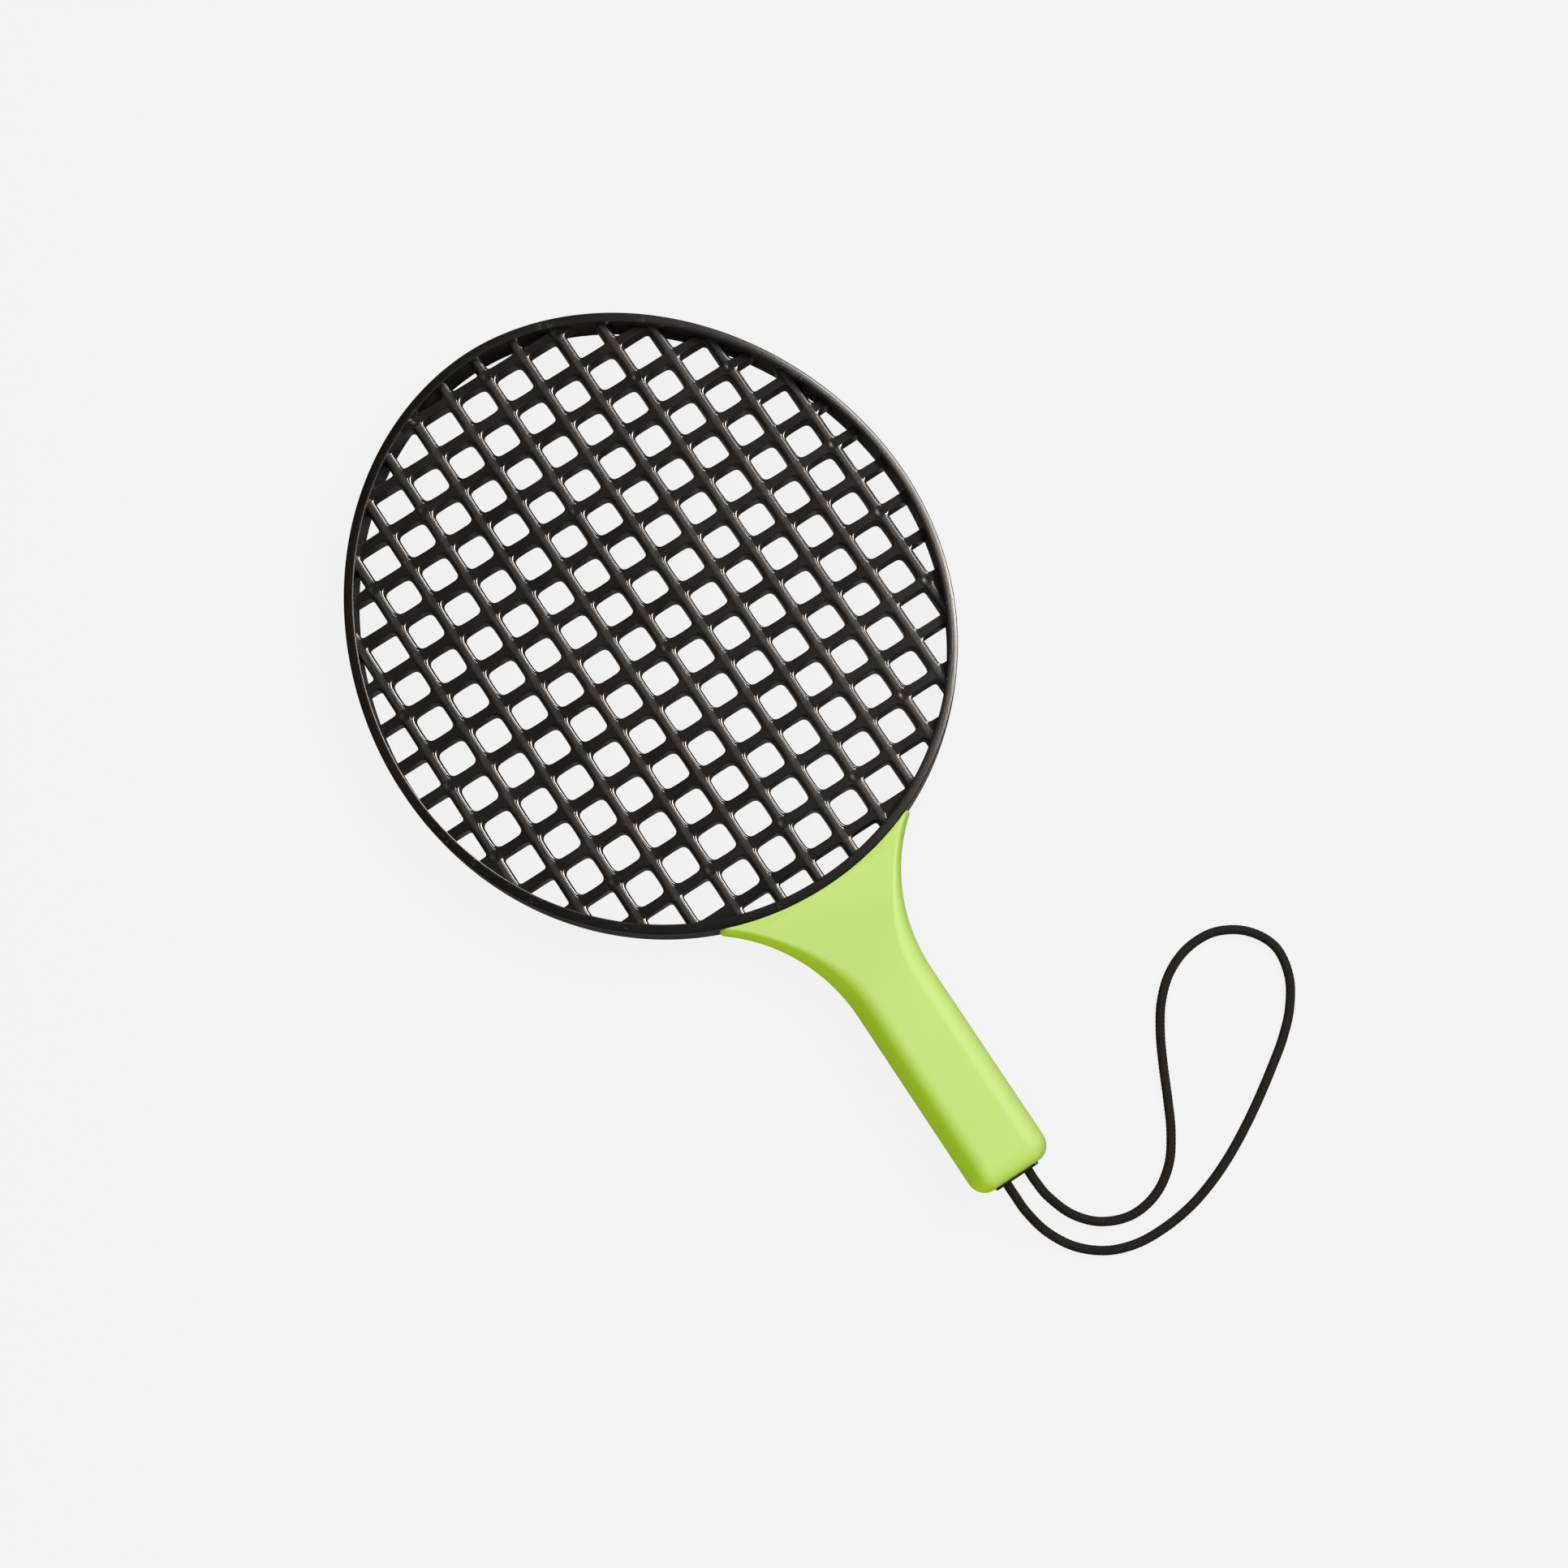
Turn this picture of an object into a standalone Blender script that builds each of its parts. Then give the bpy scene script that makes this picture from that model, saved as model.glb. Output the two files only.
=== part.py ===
"""Speedball racket: a moulded grid head, a rubber-sleeved handle and a wrist cord.

It lies face up. +Y points to the tip of the head and +Z out of the face. The origin is on the
surface below the racket, halfway between the tip and the end of the handle. Sizes are in metres.
"""

import math

import bmesh
import bpy
from mathutils import Matrix, Vector
from mathutils.geometry import interpolate_bezier

# Head outline: two superellipse halves that meet at the widest line. An exponent of 2 is an ellipse.
HEAD_WIDTH = 0.1960
TIP_REACH = 0.1134
THROAT_REACH = 0.1037
TIP_EXPONENT = 1.94
THROAT_EXPONENT = 2.02
OUTLINE_POINTS = 96

# Rim and grid
RIM_DEPTH = 0.0130
RIM_WALL = 0.0032
RIM_EDGE = 0.0004
GRID_DEPTH = 0.0066
CELL_PITCH = 0.0140
CELL_OPENING = 0.0106
CELL_CHAMFER = 0.0018
GRID_PAST_WIDEST = 0.0058
SMALLEST_CELL = 0.0026

# Handle
GRIP_LENGTH = 0.1097
GRIP_WIDTH = 0.0284
GRIP_THICKNESS = 0.0200
GRIP_SHOULDER = 0.0076
FLARE_LENGTH = 0.0405
FLARE_WIDTH = 0.0728
FLARE_THICKNESS = 0.0120
FLARE_SHOULDER = 0.0030
FLARE_TIP = 0.0014
END_CORNER = 0.0060
END_ROLL = 0.0090
END_LIP = 0.0009
END_WALL = 0.0060
SLEEVE_WALL = 0.0025

# Plug in the end of the handle
PLUG_WIDTH = 0.0156
PLUG_HEIGHT = 0.0080
PLUG_CORNER = 0.0015
PLUG_PROUD = 0.0008
SPIGOT_STEP = 0.0008
SPIGOT_LENGTH = 0.0080

# Cord, and its route from one of the plug's holes back to the other, measured from the plug's face
CORD_DIAMETER = 0.0030
CORD_SPACING = 0.0080
CORD_LIFT = 0.00006
CORD_STRAIGHT = 0.0040
CORD_DESCENT = 0.0240
CORD_STEP = 0.0066
CORD_ROUTE = (
    (0.0040, -0.0003),
    (0.0040, -0.0043),
    (0.0048, -0.0104),
    (0.0084, -0.0190),
    (0.0151, -0.0261),
    (0.0245, -0.0297),
    (0.0346, -0.0284),
    (0.0433, -0.0230),
    (0.0498, -0.0148),
    (0.0549, -0.0056),
    (0.0598, 0.0040),
    (0.0650, 0.0132),
    (0.0711, 0.0214),
    (0.0788, 0.0277),
    (0.0883, 0.0311),
    (0.0985, 0.0305),
    (0.1073, 0.0250),
    (0.1120, 0.0160),
    (0.1103, 0.0058),
    (0.1044, -0.0030),
    (0.0968, -0.0099),
    (0.0884, -0.0157),
    (0.0796, -0.0213),
    (0.0704, -0.0266),
    (0.0610, -0.0313),
    (0.0513, -0.0351),
    (0.0413, -0.0377),
    (0.0311, -0.0387),
    (0.0209, -0.0380),
    (0.0115, -0.0346),
    (0.0037, -0.0280),
    (-0.0015, -0.0190),
    (-0.0037, -0.0104),
    (-0.0040, -0.0043),
    (-0.0040, -0.0003),
)

# Clearance between pieces that touch on the real racket
GAP = 0.0003

# Sizes that follow from the ones above: the knot is as bulky as two turns of the cord make it
SPIGOT_WIDTH = PLUG_WIDTH - 2 * SPIGOT_STEP
SPIGOT_HEIGHT = PLUG_HEIGHT - 2 * SPIGOT_STEP
CORD_HOLE = CORD_DIAMETER + 2 * GAP
CORD_REST = CORD_DIAMETER / 2 + CORD_LIFT
KNOT_WIDTH = CORD_SPACING + CORD_DIAMETER
KNOT_LENGTH = 3 * CORD_DIAMETER
KNOT_HEIGHT = 2.1 * CORD_DIAMETER

# Places that follow from the sizes
WIDEST_Y = (THROAT_REACH + GRIP_LENGTH + PLUG_PROUD - TIP_REACH) / 2
GRID_Y = WIDEST_Y + GRID_PAST_WIDEST
THROAT_Y = WIDEST_Y - THROAT_REACH
NECK_Y = THROAT_Y - FLARE_LENGTH
GRIP_END_Y = THROAT_Y - GRIP_LENGTH
PLUG_FACE_Y = GRIP_END_Y - PLUG_PROUD
SHOULDER_Y = GRIP_END_Y + END_WALL
CORE_END_Y = SHOULDER_Y + GAP
SPIGOT_END_Y = CORE_END_Y + SPIGOT_LENGTH
KNOT_Y = SPIGOT_END_Y + GAP + KNOT_LENGTH / 2
KNOT_ROOM_END_Y = KNOT_Y + KNOT_LENGTH / 2 + GAP
MID_Z = GRIP_THICKNESS / 2

SHOULDER_STEPS = 5
FLARE_STEPS = 8
END_STEPS = 5


# Small tools that every piece uses


def new_collection(name):
    collection = bpy.data.collections.new(name)
    bpy.context.scene.collection.children.link(collection)
    return collection


def finish(name, colour, roughness):
    material = bpy.data.materials.new(name)
    material.use_nodes = True
    shader = material.node_tree.nodes["Principled BSDF"]
    shader.inputs["Base Color"].default_value = (*colour, 1.0)
    shader.inputs["Roughness"].default_value = roughness
    return material


def add_piece(name, mesh, material):
    mesh.materials.clear()
    mesh.materials.append(material)
    piece = bpy.data.objects.new(name, mesh)
    pieces.objects.link(piece)
    return piece


def add_cutter(name, mesh):
    cutter = bpy.data.objects.new(name, mesh)
    cutter.hide_render = True
    cutter.display_type = "WIRE"
    cutters.objects.link(cutter)
    return cutter


def combine(piece, operation, other):
    modifier = piece.modifiers.new(other.name, "BOOLEAN")
    modifier.solver = "EXACT"
    modifier.operation = operation
    modifier.object = other


def shade(mesh):
    mesh.shade_smooth()
    mesh.set_sharp_from_angle(angle=math.radians(32))
    return mesh


def mesh_of_curve(curve, placement):
    """The mesh of a curve in its place, with the caps welded to the sides."""
    guide = bpy.data.objects.new(curve.name, curve)
    guide.matrix_world = placement
    bpy.context.scene.collection.objects.link(guide)
    bpy.context.view_layer.update()
    evaluated = guide.evaluated_get(bpy.context.evaluated_depsgraph_get())
    mesh = bpy.data.meshes.new_from_object(evaluated)
    mesh.transform(placement)
    bpy.data.objects.remove(guide)
    shape = bmesh.new()
    shape.from_mesh(mesh)
    bmesh.ops.remove_doubles(shape, verts=shape.verts, dist=0.000001)
    bmesh.ops.recalc_face_normals(shape, faces=shape.faces)
    shape.to_mesh(mesh)
    shape.free()
    return mesh


def plate(name, outlines, thickness, placement):
    """A flat plate about its middle plane. An outline inside another one is a hole in it."""
    curve = bpy.data.curves.new(name, "CURVE")
    curve.dimensions = "2D"
    curve.fill_mode = "BOTH"
    curve.extrude = thickness / 2
    for outline in outlines:
        spline = curve.splines.new("POLY")
        spline.points.add(len(outline) - 1)
        for point, (x, y) in zip(spline.points, outline):
            point.co = (x, y, 0.0, 1.0)
        spline.use_cyclic_u = True
    return mesh_of_curve(curve, placement)


def block_along(name, width, height, from_y, to_y):
    """A block along the handle, at the middle height."""
    shape = bmesh.new()
    bmesh.ops.create_cube(shape, size=1.0)
    bmesh.ops.scale(shape, vec=(width, to_y - from_y, height), verts=shape.verts)
    bmesh.ops.translate(shape, vec=(0.0, (from_y + to_y) / 2, MID_Z), verts=shape.verts)
    mesh = bpy.data.meshes.new(name)
    shape.to_mesh(mesh)
    shape.free()
    return mesh


def rod(name, diameter, x, from_y, to_y, sides):
    """A round rod along the handle, at the middle height."""
    shape = bmesh.new()
    bmesh.ops.create_cone(
        shape,
        cap_ends=True,
        segments=sides,
        radius1=diameter / 2,
        radius2=diameter / 2,
        depth=to_y - from_y,
    )
    placement = Matrix.Translation((x, (from_y + to_y) / 2, MID_Z))
    bmesh.ops.transform(shape, matrix=placement @ ALONG_HANDLE, verts=shape.verts)
    mesh = bpy.data.meshes.new(name)
    shape.to_mesh(mesh)
    shape.free()
    return mesh


def blend(value):
    value = min(max(value, 0.0), 1.0)
    return value * value * (3 - 2 * value)


# Head


def rim_outline(inset):
    """The head's outline seen from above, moved in along its own normal."""
    outline = []
    for step in range(OUTLINE_POINTS):
        angle = 2 * math.pi * step / OUTLINE_POINTS
        cosine = math.cos(angle)
        sine = math.sin(angle)
        reach = TIP_REACH if sine > 0 else THROAT_REACH
        exponent = TIP_EXPONENT if sine > 0 else THROAT_EXPONENT
        across = abs(cosine) ** (2 / exponent)
        along = abs(sine) ** (2 / exponent)
        point = Vector((math.copysign(HEAD_WIDTH / 2 * across, cosine), math.copysign(reach * along, sine)))
        slope_x = across ** (exponent - 1) / (HEAD_WIDTH / 2)
        slope_y = along ** (exponent - 1) / reach
        normal = Vector((math.copysign(slope_x, cosine), math.copysign(slope_y, sine))).normalized()
        point -= normal * inset
        outline.append((point.x, point.y + WIDEST_Y))
    return outline


def throat_edge(x):
    """How far down the head's outline reaches beside the handle."""
    across = abs(x) / (HEAD_WIDTH / 2)
    return WIDEST_Y - THROAT_REACH * (1 - across**THROAT_EXPONENT) ** (1 / THROAT_EXPONENT)


def cell_fits(x, y):
    """Whether enough of the opening centred here lies inside the rim."""
    up = y - WIDEST_Y
    reach = TIP_REACH if up > 0 else THROAT_REACH
    exponent = TIP_EXPONENT if up > 0 else THROAT_EXPONENT
    inset = RIM_WALL + SMALLEST_CELL
    across = max(abs(x) - CELL_OPENING / 2, 0.0) / (HEAD_WIDTH / 2 - inset)
    along = max(abs(up) - CELL_OPENING / 2, 0.0) / (reach - inset)
    return across**exponent + along**exponent < 1


def cell_outline(x, y):
    half = CELL_OPENING / 2
    short = half - CELL_CHAMFER
    corners = (
        (half, -short),
        (half, short),
        (short, half),
        (-short, half),
        (-half, short),
        (-half, -short),
        (-short, -half),
        (short, -half),
    )
    return [(x + dx, y + dy) for dx, dy in corners]


def cell_outlines():
    columns = math.ceil(HEAD_WIDTH / 2 / CELL_PITCH)
    rows = math.ceil(max(TIP_REACH, THROAT_REACH + GRID_PAST_WIDEST) / CELL_PITCH)
    outlines = []
    for row in range(-rows, rows):
        for column in range(-columns, columns):
            x = (column + 0.5) * CELL_PITCH
            y = (row + 0.5) * CELL_PITCH + GRID_Y
            if cell_fits(x, y):
                outlines.append(cell_outline(x, y))
    return outlines


def rim_ring():
    outlines = [rim_outline(0), rim_outline(RIM_WALL)]
    ring = add_cutter("rim ring", plate("rim ring", outlines, RIM_DEPTH, LEVEL))
    edge = ring.modifiers.new("Rounded edges", "BEVEL")
    edge.width = RIM_EDGE
    edge.segments = 1
    edge.limit_method = "ANGLE"
    edge.angle_limit = math.radians(60)
    return ring


# Handle


def section(half_width, half_height, shoulder):
    """Across the handle: flat top and bottom, with a quarter of an ellipse on each shoulder."""
    shoulder = min(shoulder, half_width)
    quarter = []
    for step in range(SHOULDER_STEPS + 1):
        angle = math.pi / 2 * step / SHOULDER_STEPS
        x = half_width - shoulder + shoulder * math.cos(angle)
        quarter.append((x, half_height * math.sin(angle)))
    right = [(x, -z) for x, z in reversed(quarter)] + quarter[1:]
    left = [(-x, z) for x, z in reversed(right)]
    return right + left


def handle_stations(inset, end_y, rolled):
    """The handle's cross-sections from the head down, each with its place along the handle."""
    tip_x = FLARE_WIDTH / 2
    tip_y = throat_edge(tip_x) - FLARE_TIP
    run = tip_y - NECK_Y
    spread = tip_x - GRIP_WIDTH / 2
    radius = (spread * spread + run * run) / (2 * spread)
    steepest = math.asin(run / radius)
    places = [(throat_edge(tip_x) + FLARE_TIP, tip_x, steepest)]
    for step in range(FLARE_STEPS + 1):
        angle = steepest * (1 - step / FLARE_STEPS)
        x = GRIP_WIDTH / 2 + radius * (1 - math.cos(angle))
        places.append((NECK_Y + radius * math.sin(angle), x, angle))
    stations = []
    for y, x, angle in places:
        share = blend((THROAT_Y - y) / FLARE_LENGTH)
        half_height = (FLARE_THICKNESS + (GRIP_THICKNESS - FLARE_THICKNESS) * share) / 2
        shoulder = FLARE_SHOULDER + (GRIP_SHOULDER - FLARE_SHOULDER) * share
        stations.append((y, x - inset / math.cos(angle), half_height - inset, shoulder - inset))
    if not rolled:
        stations.append((end_y, GRIP_WIDTH / 2 - inset, GRIP_THICKNESS / 2 - inset, GRIP_SHOULDER - inset))
        return stations
    end_x = PLUG_WIDTH / 2 + END_LIP
    end_z = PLUG_HEIGHT / 2 + END_LIP
    for step in range(END_STEPS + 1):
        angle = math.pi / 2 * step / END_STEPS
        y = end_y + END_ROLL * (1 - math.sin(angle))
        corner = min((y - end_y) / END_CORNER, 1.0)
        x = end_x + (GRIP_WIDTH / 2 - end_x) * math.sqrt(1 - (1 - corner) ** 2)
        half_height = end_z + (GRIP_THICKNESS / 2 - end_z) * math.cos(angle)
        shoulder = PLUG_CORNER + (GRIP_SHOULDER - PLUG_CORNER) * math.cos(angle)
        stations.append((y, x, half_height, shoulder))
    return stations


def handle_loft(name, inset, end_y, rolled):
    """A closed skin through the cross-sections, from the head to the end of the handle."""
    shape = bmesh.new()
    rings = []
    for y, half_width, half_height, shoulder in handle_stations(inset, end_y, rolled):
        points = section(half_width, half_height, max(shoulder, GAP))
        rings.append([shape.verts.new((x, y, MID_Z + z)) for x, z in points])
    for upper, lower in zip(rings, rings[1:]):
        for index in range(len(upper)):
            after = (index + 1) % len(upper)
            shape.faces.new((upper[index], upper[after], lower[after], lower[index]))
    shape.faces.new(rings[0])
    shape.faces.new(rings[-1])
    bmesh.ops.recalc_face_normals(shape, faces=shape.faces)
    mesh = bpy.data.meshes.new(name)
    shape.to_mesh(mesh)
    shape.free()
    return mesh


def handle_core():
    """The moulding's stem inside the sleeve, run into the thickness of the rim."""
    core = add_cutter("handle core", handle_loft("handle core", SLEEVE_WALL + GAP, CORE_END_Y, False))
    inside = plate("inside of the rim", [rim_outline(RIM_WALL / 2)], RIM_DEPTH, LEVEL)
    combine(core, "DIFFERENCE", add_cutter("inside of the rim", inside))
    return core


def build_racket_frame():
    """One moulding: the grid, the rim round it and the core of the handle."""
    # The grid runs two thirds into the rim, so its webs end inside the rim's wall.
    web = plate("racket_frame", [rim_outline(RIM_WALL / 3)], GRID_DEPTH, LEVEL)
    frame = add_piece("racket_frame", web, finish("black moulded plastic", (0.017, 0.016, 0.015), 0.42))
    openings = plate("grid openings", cell_outlines(), RIM_DEPTH, LEVEL)
    combine(frame, "DIFFERENCE", add_cutter("grid openings", openings))
    combine(frame, "UNION", rim_ring())
    combine(frame, "UNION", handle_core())
    width = SPIGOT_WIDTH + 2 * GAP
    height = SPIGOT_HEIGHT + 2 * GAP
    socket = block_along("plug socket", width, height, GRIP_END_Y, SPIGOT_END_Y)
    combine(frame, "DIFFERENCE", add_cutter("plug socket", socket))
    width = KNOT_WIDTH + 2 * GAP
    height = KNOT_HEIGHT + 2 * GAP
    room = block_along("knot room", width, height, CORE_END_Y, KNOT_ROOM_END_Y)
    combine(frame, "DIFFERENCE", add_cutter("knot room", room))
    return frame


def build_grip_sleeve():
    """Soft overmoulded sleeve, open where it meets the rim and round the plug."""
    outside = shade(handle_loft("grip_sleeve", 0.0, GRIP_END_Y, True))
    sleeve = add_piece("grip_sleeve", outside, finish("lime green soft rubber", (0.60, 0.80, 0.21), 0.62))
    hollow = handle_loft("sleeve hollow", SLEEVE_WALL, SHOULDER_Y, False)
    combine(sleeve, "DIFFERENCE", add_cutter("sleeve hollow", hollow))
    head = plate("head beside the sleeve", [rim_outline(-GAP)], 2 * RIM_DEPTH, LEVEL)
    combine(sleeve, "DIFFERENCE", add_cutter("head beside the sleeve", head))
    window = plug_outline(GAP)
    placement = Matrix.Translation((0.0, GRIP_END_Y, MID_Z)) @ ALONG_HANDLE
    mouth = plate("mouth for the plug", [window], 3 * END_WALL, placement)
    combine(sleeve, "DIFFERENCE", add_cutter("mouth for the plug", mouth))
    return sleeve


# End of the handle


def plug_outline(margin):
    """Rounded rectangle of the plug's face, grown by a margin."""
    half_width = PLUG_WIDTH / 2 - PLUG_CORNER
    half_height = PLUG_HEIGHT / 2 - PLUG_CORNER
    outline = []
    for quarter, (side, top) in enumerate(((1, 1), (-1, 1), (-1, -1), (1, -1))):
        for step in range(5):
            angle = math.pi / 2 * (quarter + step / 4)
            x = side * half_width + (PLUG_CORNER + margin) * math.cos(angle)
            outline.append((x, top * half_height + (PLUG_CORNER + margin) * math.sin(angle)))
    return outline


def build_end_plug():
    """Hard plug: a head in the mouth of the sleeve, a spigot in the core and a hole for each cord."""
    length = SHOULDER_Y - PLUG_FACE_Y
    placement = Matrix.Translation((0.0, PLUG_FACE_Y + length / 2, MID_Z)) @ ALONG_HANDLE
    head = plate("end_plug", [plug_outline(0.0)], length, placement)
    plug = add_piece("end_plug", shade(head), finish("black hard plastic", (0.013, 0.012, 0.012), 0.38))
    spigot = block_along("plug spigot", SPIGOT_WIDTH, SPIGOT_HEIGHT, GRIP_END_Y, SPIGOT_END_Y)
    combine(plug, "UNION", add_cutter("plug spigot", spigot))
    for side, x in (("right", CORD_SPACING / 2), ("left", -CORD_SPACING / 2)):
        name = f"{side} cord hole"
        hole = rod(name, CORD_HOLE, x, PLUG_FACE_Y - END_WALL, KNOT_Y, 20)
        combine(plug, "DIFFERENCE", add_cutter(name, hole))
    return plug


def build_cord_knot():
    """Both ends of the cord inside the handle, joined in the knot that keeps them there."""
    shape = bmesh.new()
    bmesh.ops.create_uvsphere(shape, u_segments=16, v_segments=10, radius=0.5)
    bmesh.ops.scale(shape, vec=(KNOT_WIDTH, KNOT_LENGTH, KNOT_HEIGHT), verts=shape.verts)
    bmesh.ops.translate(shape, vec=(0.0, KNOT_Y, MID_Z), verts=shape.verts)
    mesh = bpy.data.meshes.new("cord_knot")
    shape.to_mesh(mesh)
    shape.free()
    knot = add_piece("cord_knot", shade(mesh), finish("black knotted braid", (0.012, 0.011, 0.010), 0.85))
    for side, x in (("right", CORD_SPACING / 2), ("left", -CORD_SPACING / 2)):
        name = f"{side} cord end"
        combine(knot, "UNION", add_cutter(name, rod(name, CORD_DIAMETER, x, PLUG_FACE_Y, KNOT_Y, 12)))
    return knot


def smooth_route():
    """Closely spaced points on a smooth line through the route, seen from above."""
    route = [Vector((x, PLUG_FACE_Y + y, 0.0)) for x, y in CORD_ROUTE]
    line = [route[0]]
    for index in range(len(route) - 1):
        start = route[index]
        end = route[index + 1]
        before = route[index - 1] if index > 0 else start
        after = route[index + 2] if index + 2 < len(route) else end
        line += interpolate_bezier(start, start + (end - before) / 6, end - (after - start) / 6, end, 12)[1:]
    return line


def cord_height(along, length):
    """The cord leaves both holes level, sinks to the surface and lies on it in between."""
    from_end = min(along, length - along)
    return MID_Z + (CORD_REST - MID_Z) * blend((from_end - CORD_STRAIGHT) / CORD_DESCENT)


def cord_points():
    """Evenly spaced points of the cord's middle line."""
    line = smooth_route()
    lengths = [0.0]
    for start, end in zip(line, line[1:]):
        lengths.append(lengths[-1] + (end - start).length)
    total = lengths[-1]
    steps = round(total / CORD_STEP)
    points = []
    span = 0
    for step in range(steps + 1):
        along = total * step / steps
        while span < len(line) - 2 and lengths[span + 1] < along:
            span += 1
        share = (along - lengths[span]) / (lengths[span + 1] - lengths[span])
        point = line[span].lerp(line[span + 1], share)
        point.z = cord_height(along, total)
        points.append(point)
    return points


def build_wrist_cord():
    """The free loop of braided cord."""
    curve = bpy.data.curves.new("wrist_cord", "CURVE")
    curve.dimensions = "3D"
    curve.bevel_depth = CORD_DIAMETER / 2
    curve.bevel_resolution = 2
    curve.use_fill_caps = True
    points = cord_points()
    spline = curve.splines.new("POLY")
    spline.points.add(len(points) - 1)
    for place, point in zip(spline.points, points):
        place.co = (*point, 1.0)
    mesh = shade(mesh_of_curve(curve, Matrix.Identity(4)))
    return add_piece("wrist_cord", mesh, finish("black braided cord", (0.012, 0.011, 0.010), 0.85))


for old in list(bpy.data.objects):
    bpy.data.objects.remove(old)

LEVEL = Matrix.Translation((0.0, 0.0, MID_Z))
ALONG_HANDLE = Matrix.Rotation(math.pi / 2, 4, "X")
pieces = new_collection("Speedball racket")
cutters = new_collection("Cutters")

build_racket_frame()
build_grip_sleeve()
build_end_plug()
build_cord_knot()
build_wrist_cord()
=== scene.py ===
import math

import bmesh
import bpy
from mathutils import Matrix, Vector
from mathutils.geometry import interpolate_bezier


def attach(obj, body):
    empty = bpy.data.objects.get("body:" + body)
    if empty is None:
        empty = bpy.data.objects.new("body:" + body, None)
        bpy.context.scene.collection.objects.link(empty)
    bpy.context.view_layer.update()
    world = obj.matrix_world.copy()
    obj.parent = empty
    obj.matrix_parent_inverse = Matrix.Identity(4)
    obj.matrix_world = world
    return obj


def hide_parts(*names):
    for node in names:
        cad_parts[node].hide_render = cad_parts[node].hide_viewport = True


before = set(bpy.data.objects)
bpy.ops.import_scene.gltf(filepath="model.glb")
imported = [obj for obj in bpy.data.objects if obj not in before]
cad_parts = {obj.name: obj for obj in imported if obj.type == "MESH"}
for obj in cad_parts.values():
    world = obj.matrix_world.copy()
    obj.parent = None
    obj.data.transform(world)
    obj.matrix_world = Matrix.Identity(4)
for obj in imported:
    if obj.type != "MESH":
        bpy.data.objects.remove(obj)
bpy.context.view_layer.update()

# The racket lies face up: +Y points to the tip of the head, +Z out of the face. Sizes are in metres.


# Camera
# Looks down on the racket from just beyond the left of the handle, turned so that the head is at the upper
# left of the picture.

CAMERA_PLACE = (-0.074408, -0.174204, 0.908978)
CAMERA_TURN = (11.1159, 1.1142, -33.1685)
CAMERA_LENS = 64.5257


def put_in_scene(name, data):
    """Makes an object of a mesh, a lamp or a camera and puts it in the scene."""
    thing = bpy.data.objects.new(name, data)
    bpy.context.scene.collection.objects.link(thing)
    return thing


camera_data = bpy.data.cameras.new("camera")
camera_data.sensor_width = 36
camera_data.lens = CAMERA_LENS
camera = put_in_scene("camera", camera_data)
camera.location = CAMERA_PLACE
camera.rotation_euler = [math.radians(angle) for angle in CAMERA_TURN]
bpy.context.scene.camera = camera


# Wrist cord
# Black polyester, braided from sixteen strands over a soft core, 3 mm thick. Both ends go into the plug.
# The loop lies loose on the surface beside the handle.

CORD_DIAMETER = 0.0030
# The height of its middle where it lies, and how far it runs level and then sinks from the plug
CORD_REST = 0.00156
CORD_STRAIGHT = 0.0040
CORD_DESCENT = 0.0240
CORD_RING_STEP = 0.00026
CORD_RING_SIDES = 36
CURVE_STEPS = 24
PLUG_FACE_Y = -0.1638
MID_Z = 0.0100
STRANDS = 8
BRAID_LAY = 0.0108
BRAID_RELIEF = 0.00011
BRAID_MEAN_HEIGHT = 0.62
# The yarn's darkest colour, which is also painted shade in the gaps between the strands, and its palest,
# which is painted light on their crowns
BRAID_DARK = (0.0006, 0.0005, 0.0003, 1)
BRAID_PALE = (0.018, 0.0135, 0.010, 1)
BRAID_BUMP = 0.00008
STRAND_FULLNESS = 0.6
# The height of a strand where it dips under another
STRAND_DIP = 0.45
YARN_ROUGHNESS = 0.66
YARN_GLOSS = 0.12
FUZZ_FINENESS = 2600.0
SHADE_FINENESS = 240.0
# From one hole of the plug back to the other, measured from the plug's face
CORD_ROUTE = (
    (0.0040, 0.0), (0.0040, -0.0003), (0.0040, -0.0043), (0.0048, -0.0104), (0.0084, -0.0190),
    (0.0151, -0.0261), (0.0245, -0.0297), (0.0346, -0.0284), (0.0433, -0.0230), (0.0498, -0.0148),
    (0.0549, -0.0056), (0.0598, 0.0040), (0.0650, 0.0132), (0.0711, 0.0214), (0.0788, 0.0277),
    (0.0883, 0.0311), (0.0985, 0.0305), (0.1073, 0.0250), (0.1120, 0.0160), (0.1103, 0.0058),
    (0.1044, -0.0030), (0.0968, -0.0099), (0.0884, -0.0157), (0.0796, -0.0213), (0.0704, -0.0266),
    (0.0610, -0.0313), (0.0513, -0.0351), (0.0413, -0.0377), (0.0311, -0.0387), (0.0209, -0.0380),
    (0.0115, -0.0346), (0.0037, -0.0280), (-0.0015, -0.0190), (-0.0037, -0.0104), (-0.0040, -0.0043),
    (-0.0040, -0.0003), (-0.0040, 0.0),
)


def ease(value):
    """From 0 to 1 with a level start and end."""
    value = min(max(value, 0.0), 1.0)
    return value * value * (3 - 2 * value)


def smooth_line(route):
    """Closely spaced points on a smooth line through the route."""
    line = [route[0]]
    for index in range(len(route) - 1):
        start = route[index]
        end = route[index + 1]
        before = route[index - 1] if index > 0 else start
        after = route[index + 2] if index + 2 < len(route) else end
        leaving = start + (end - before) / 6
        arriving = end - (after - start) / 6
        line += interpolate_bezier(start, leaving, arriving, end, CURVE_STEPS)[1:]
    return line


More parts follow.
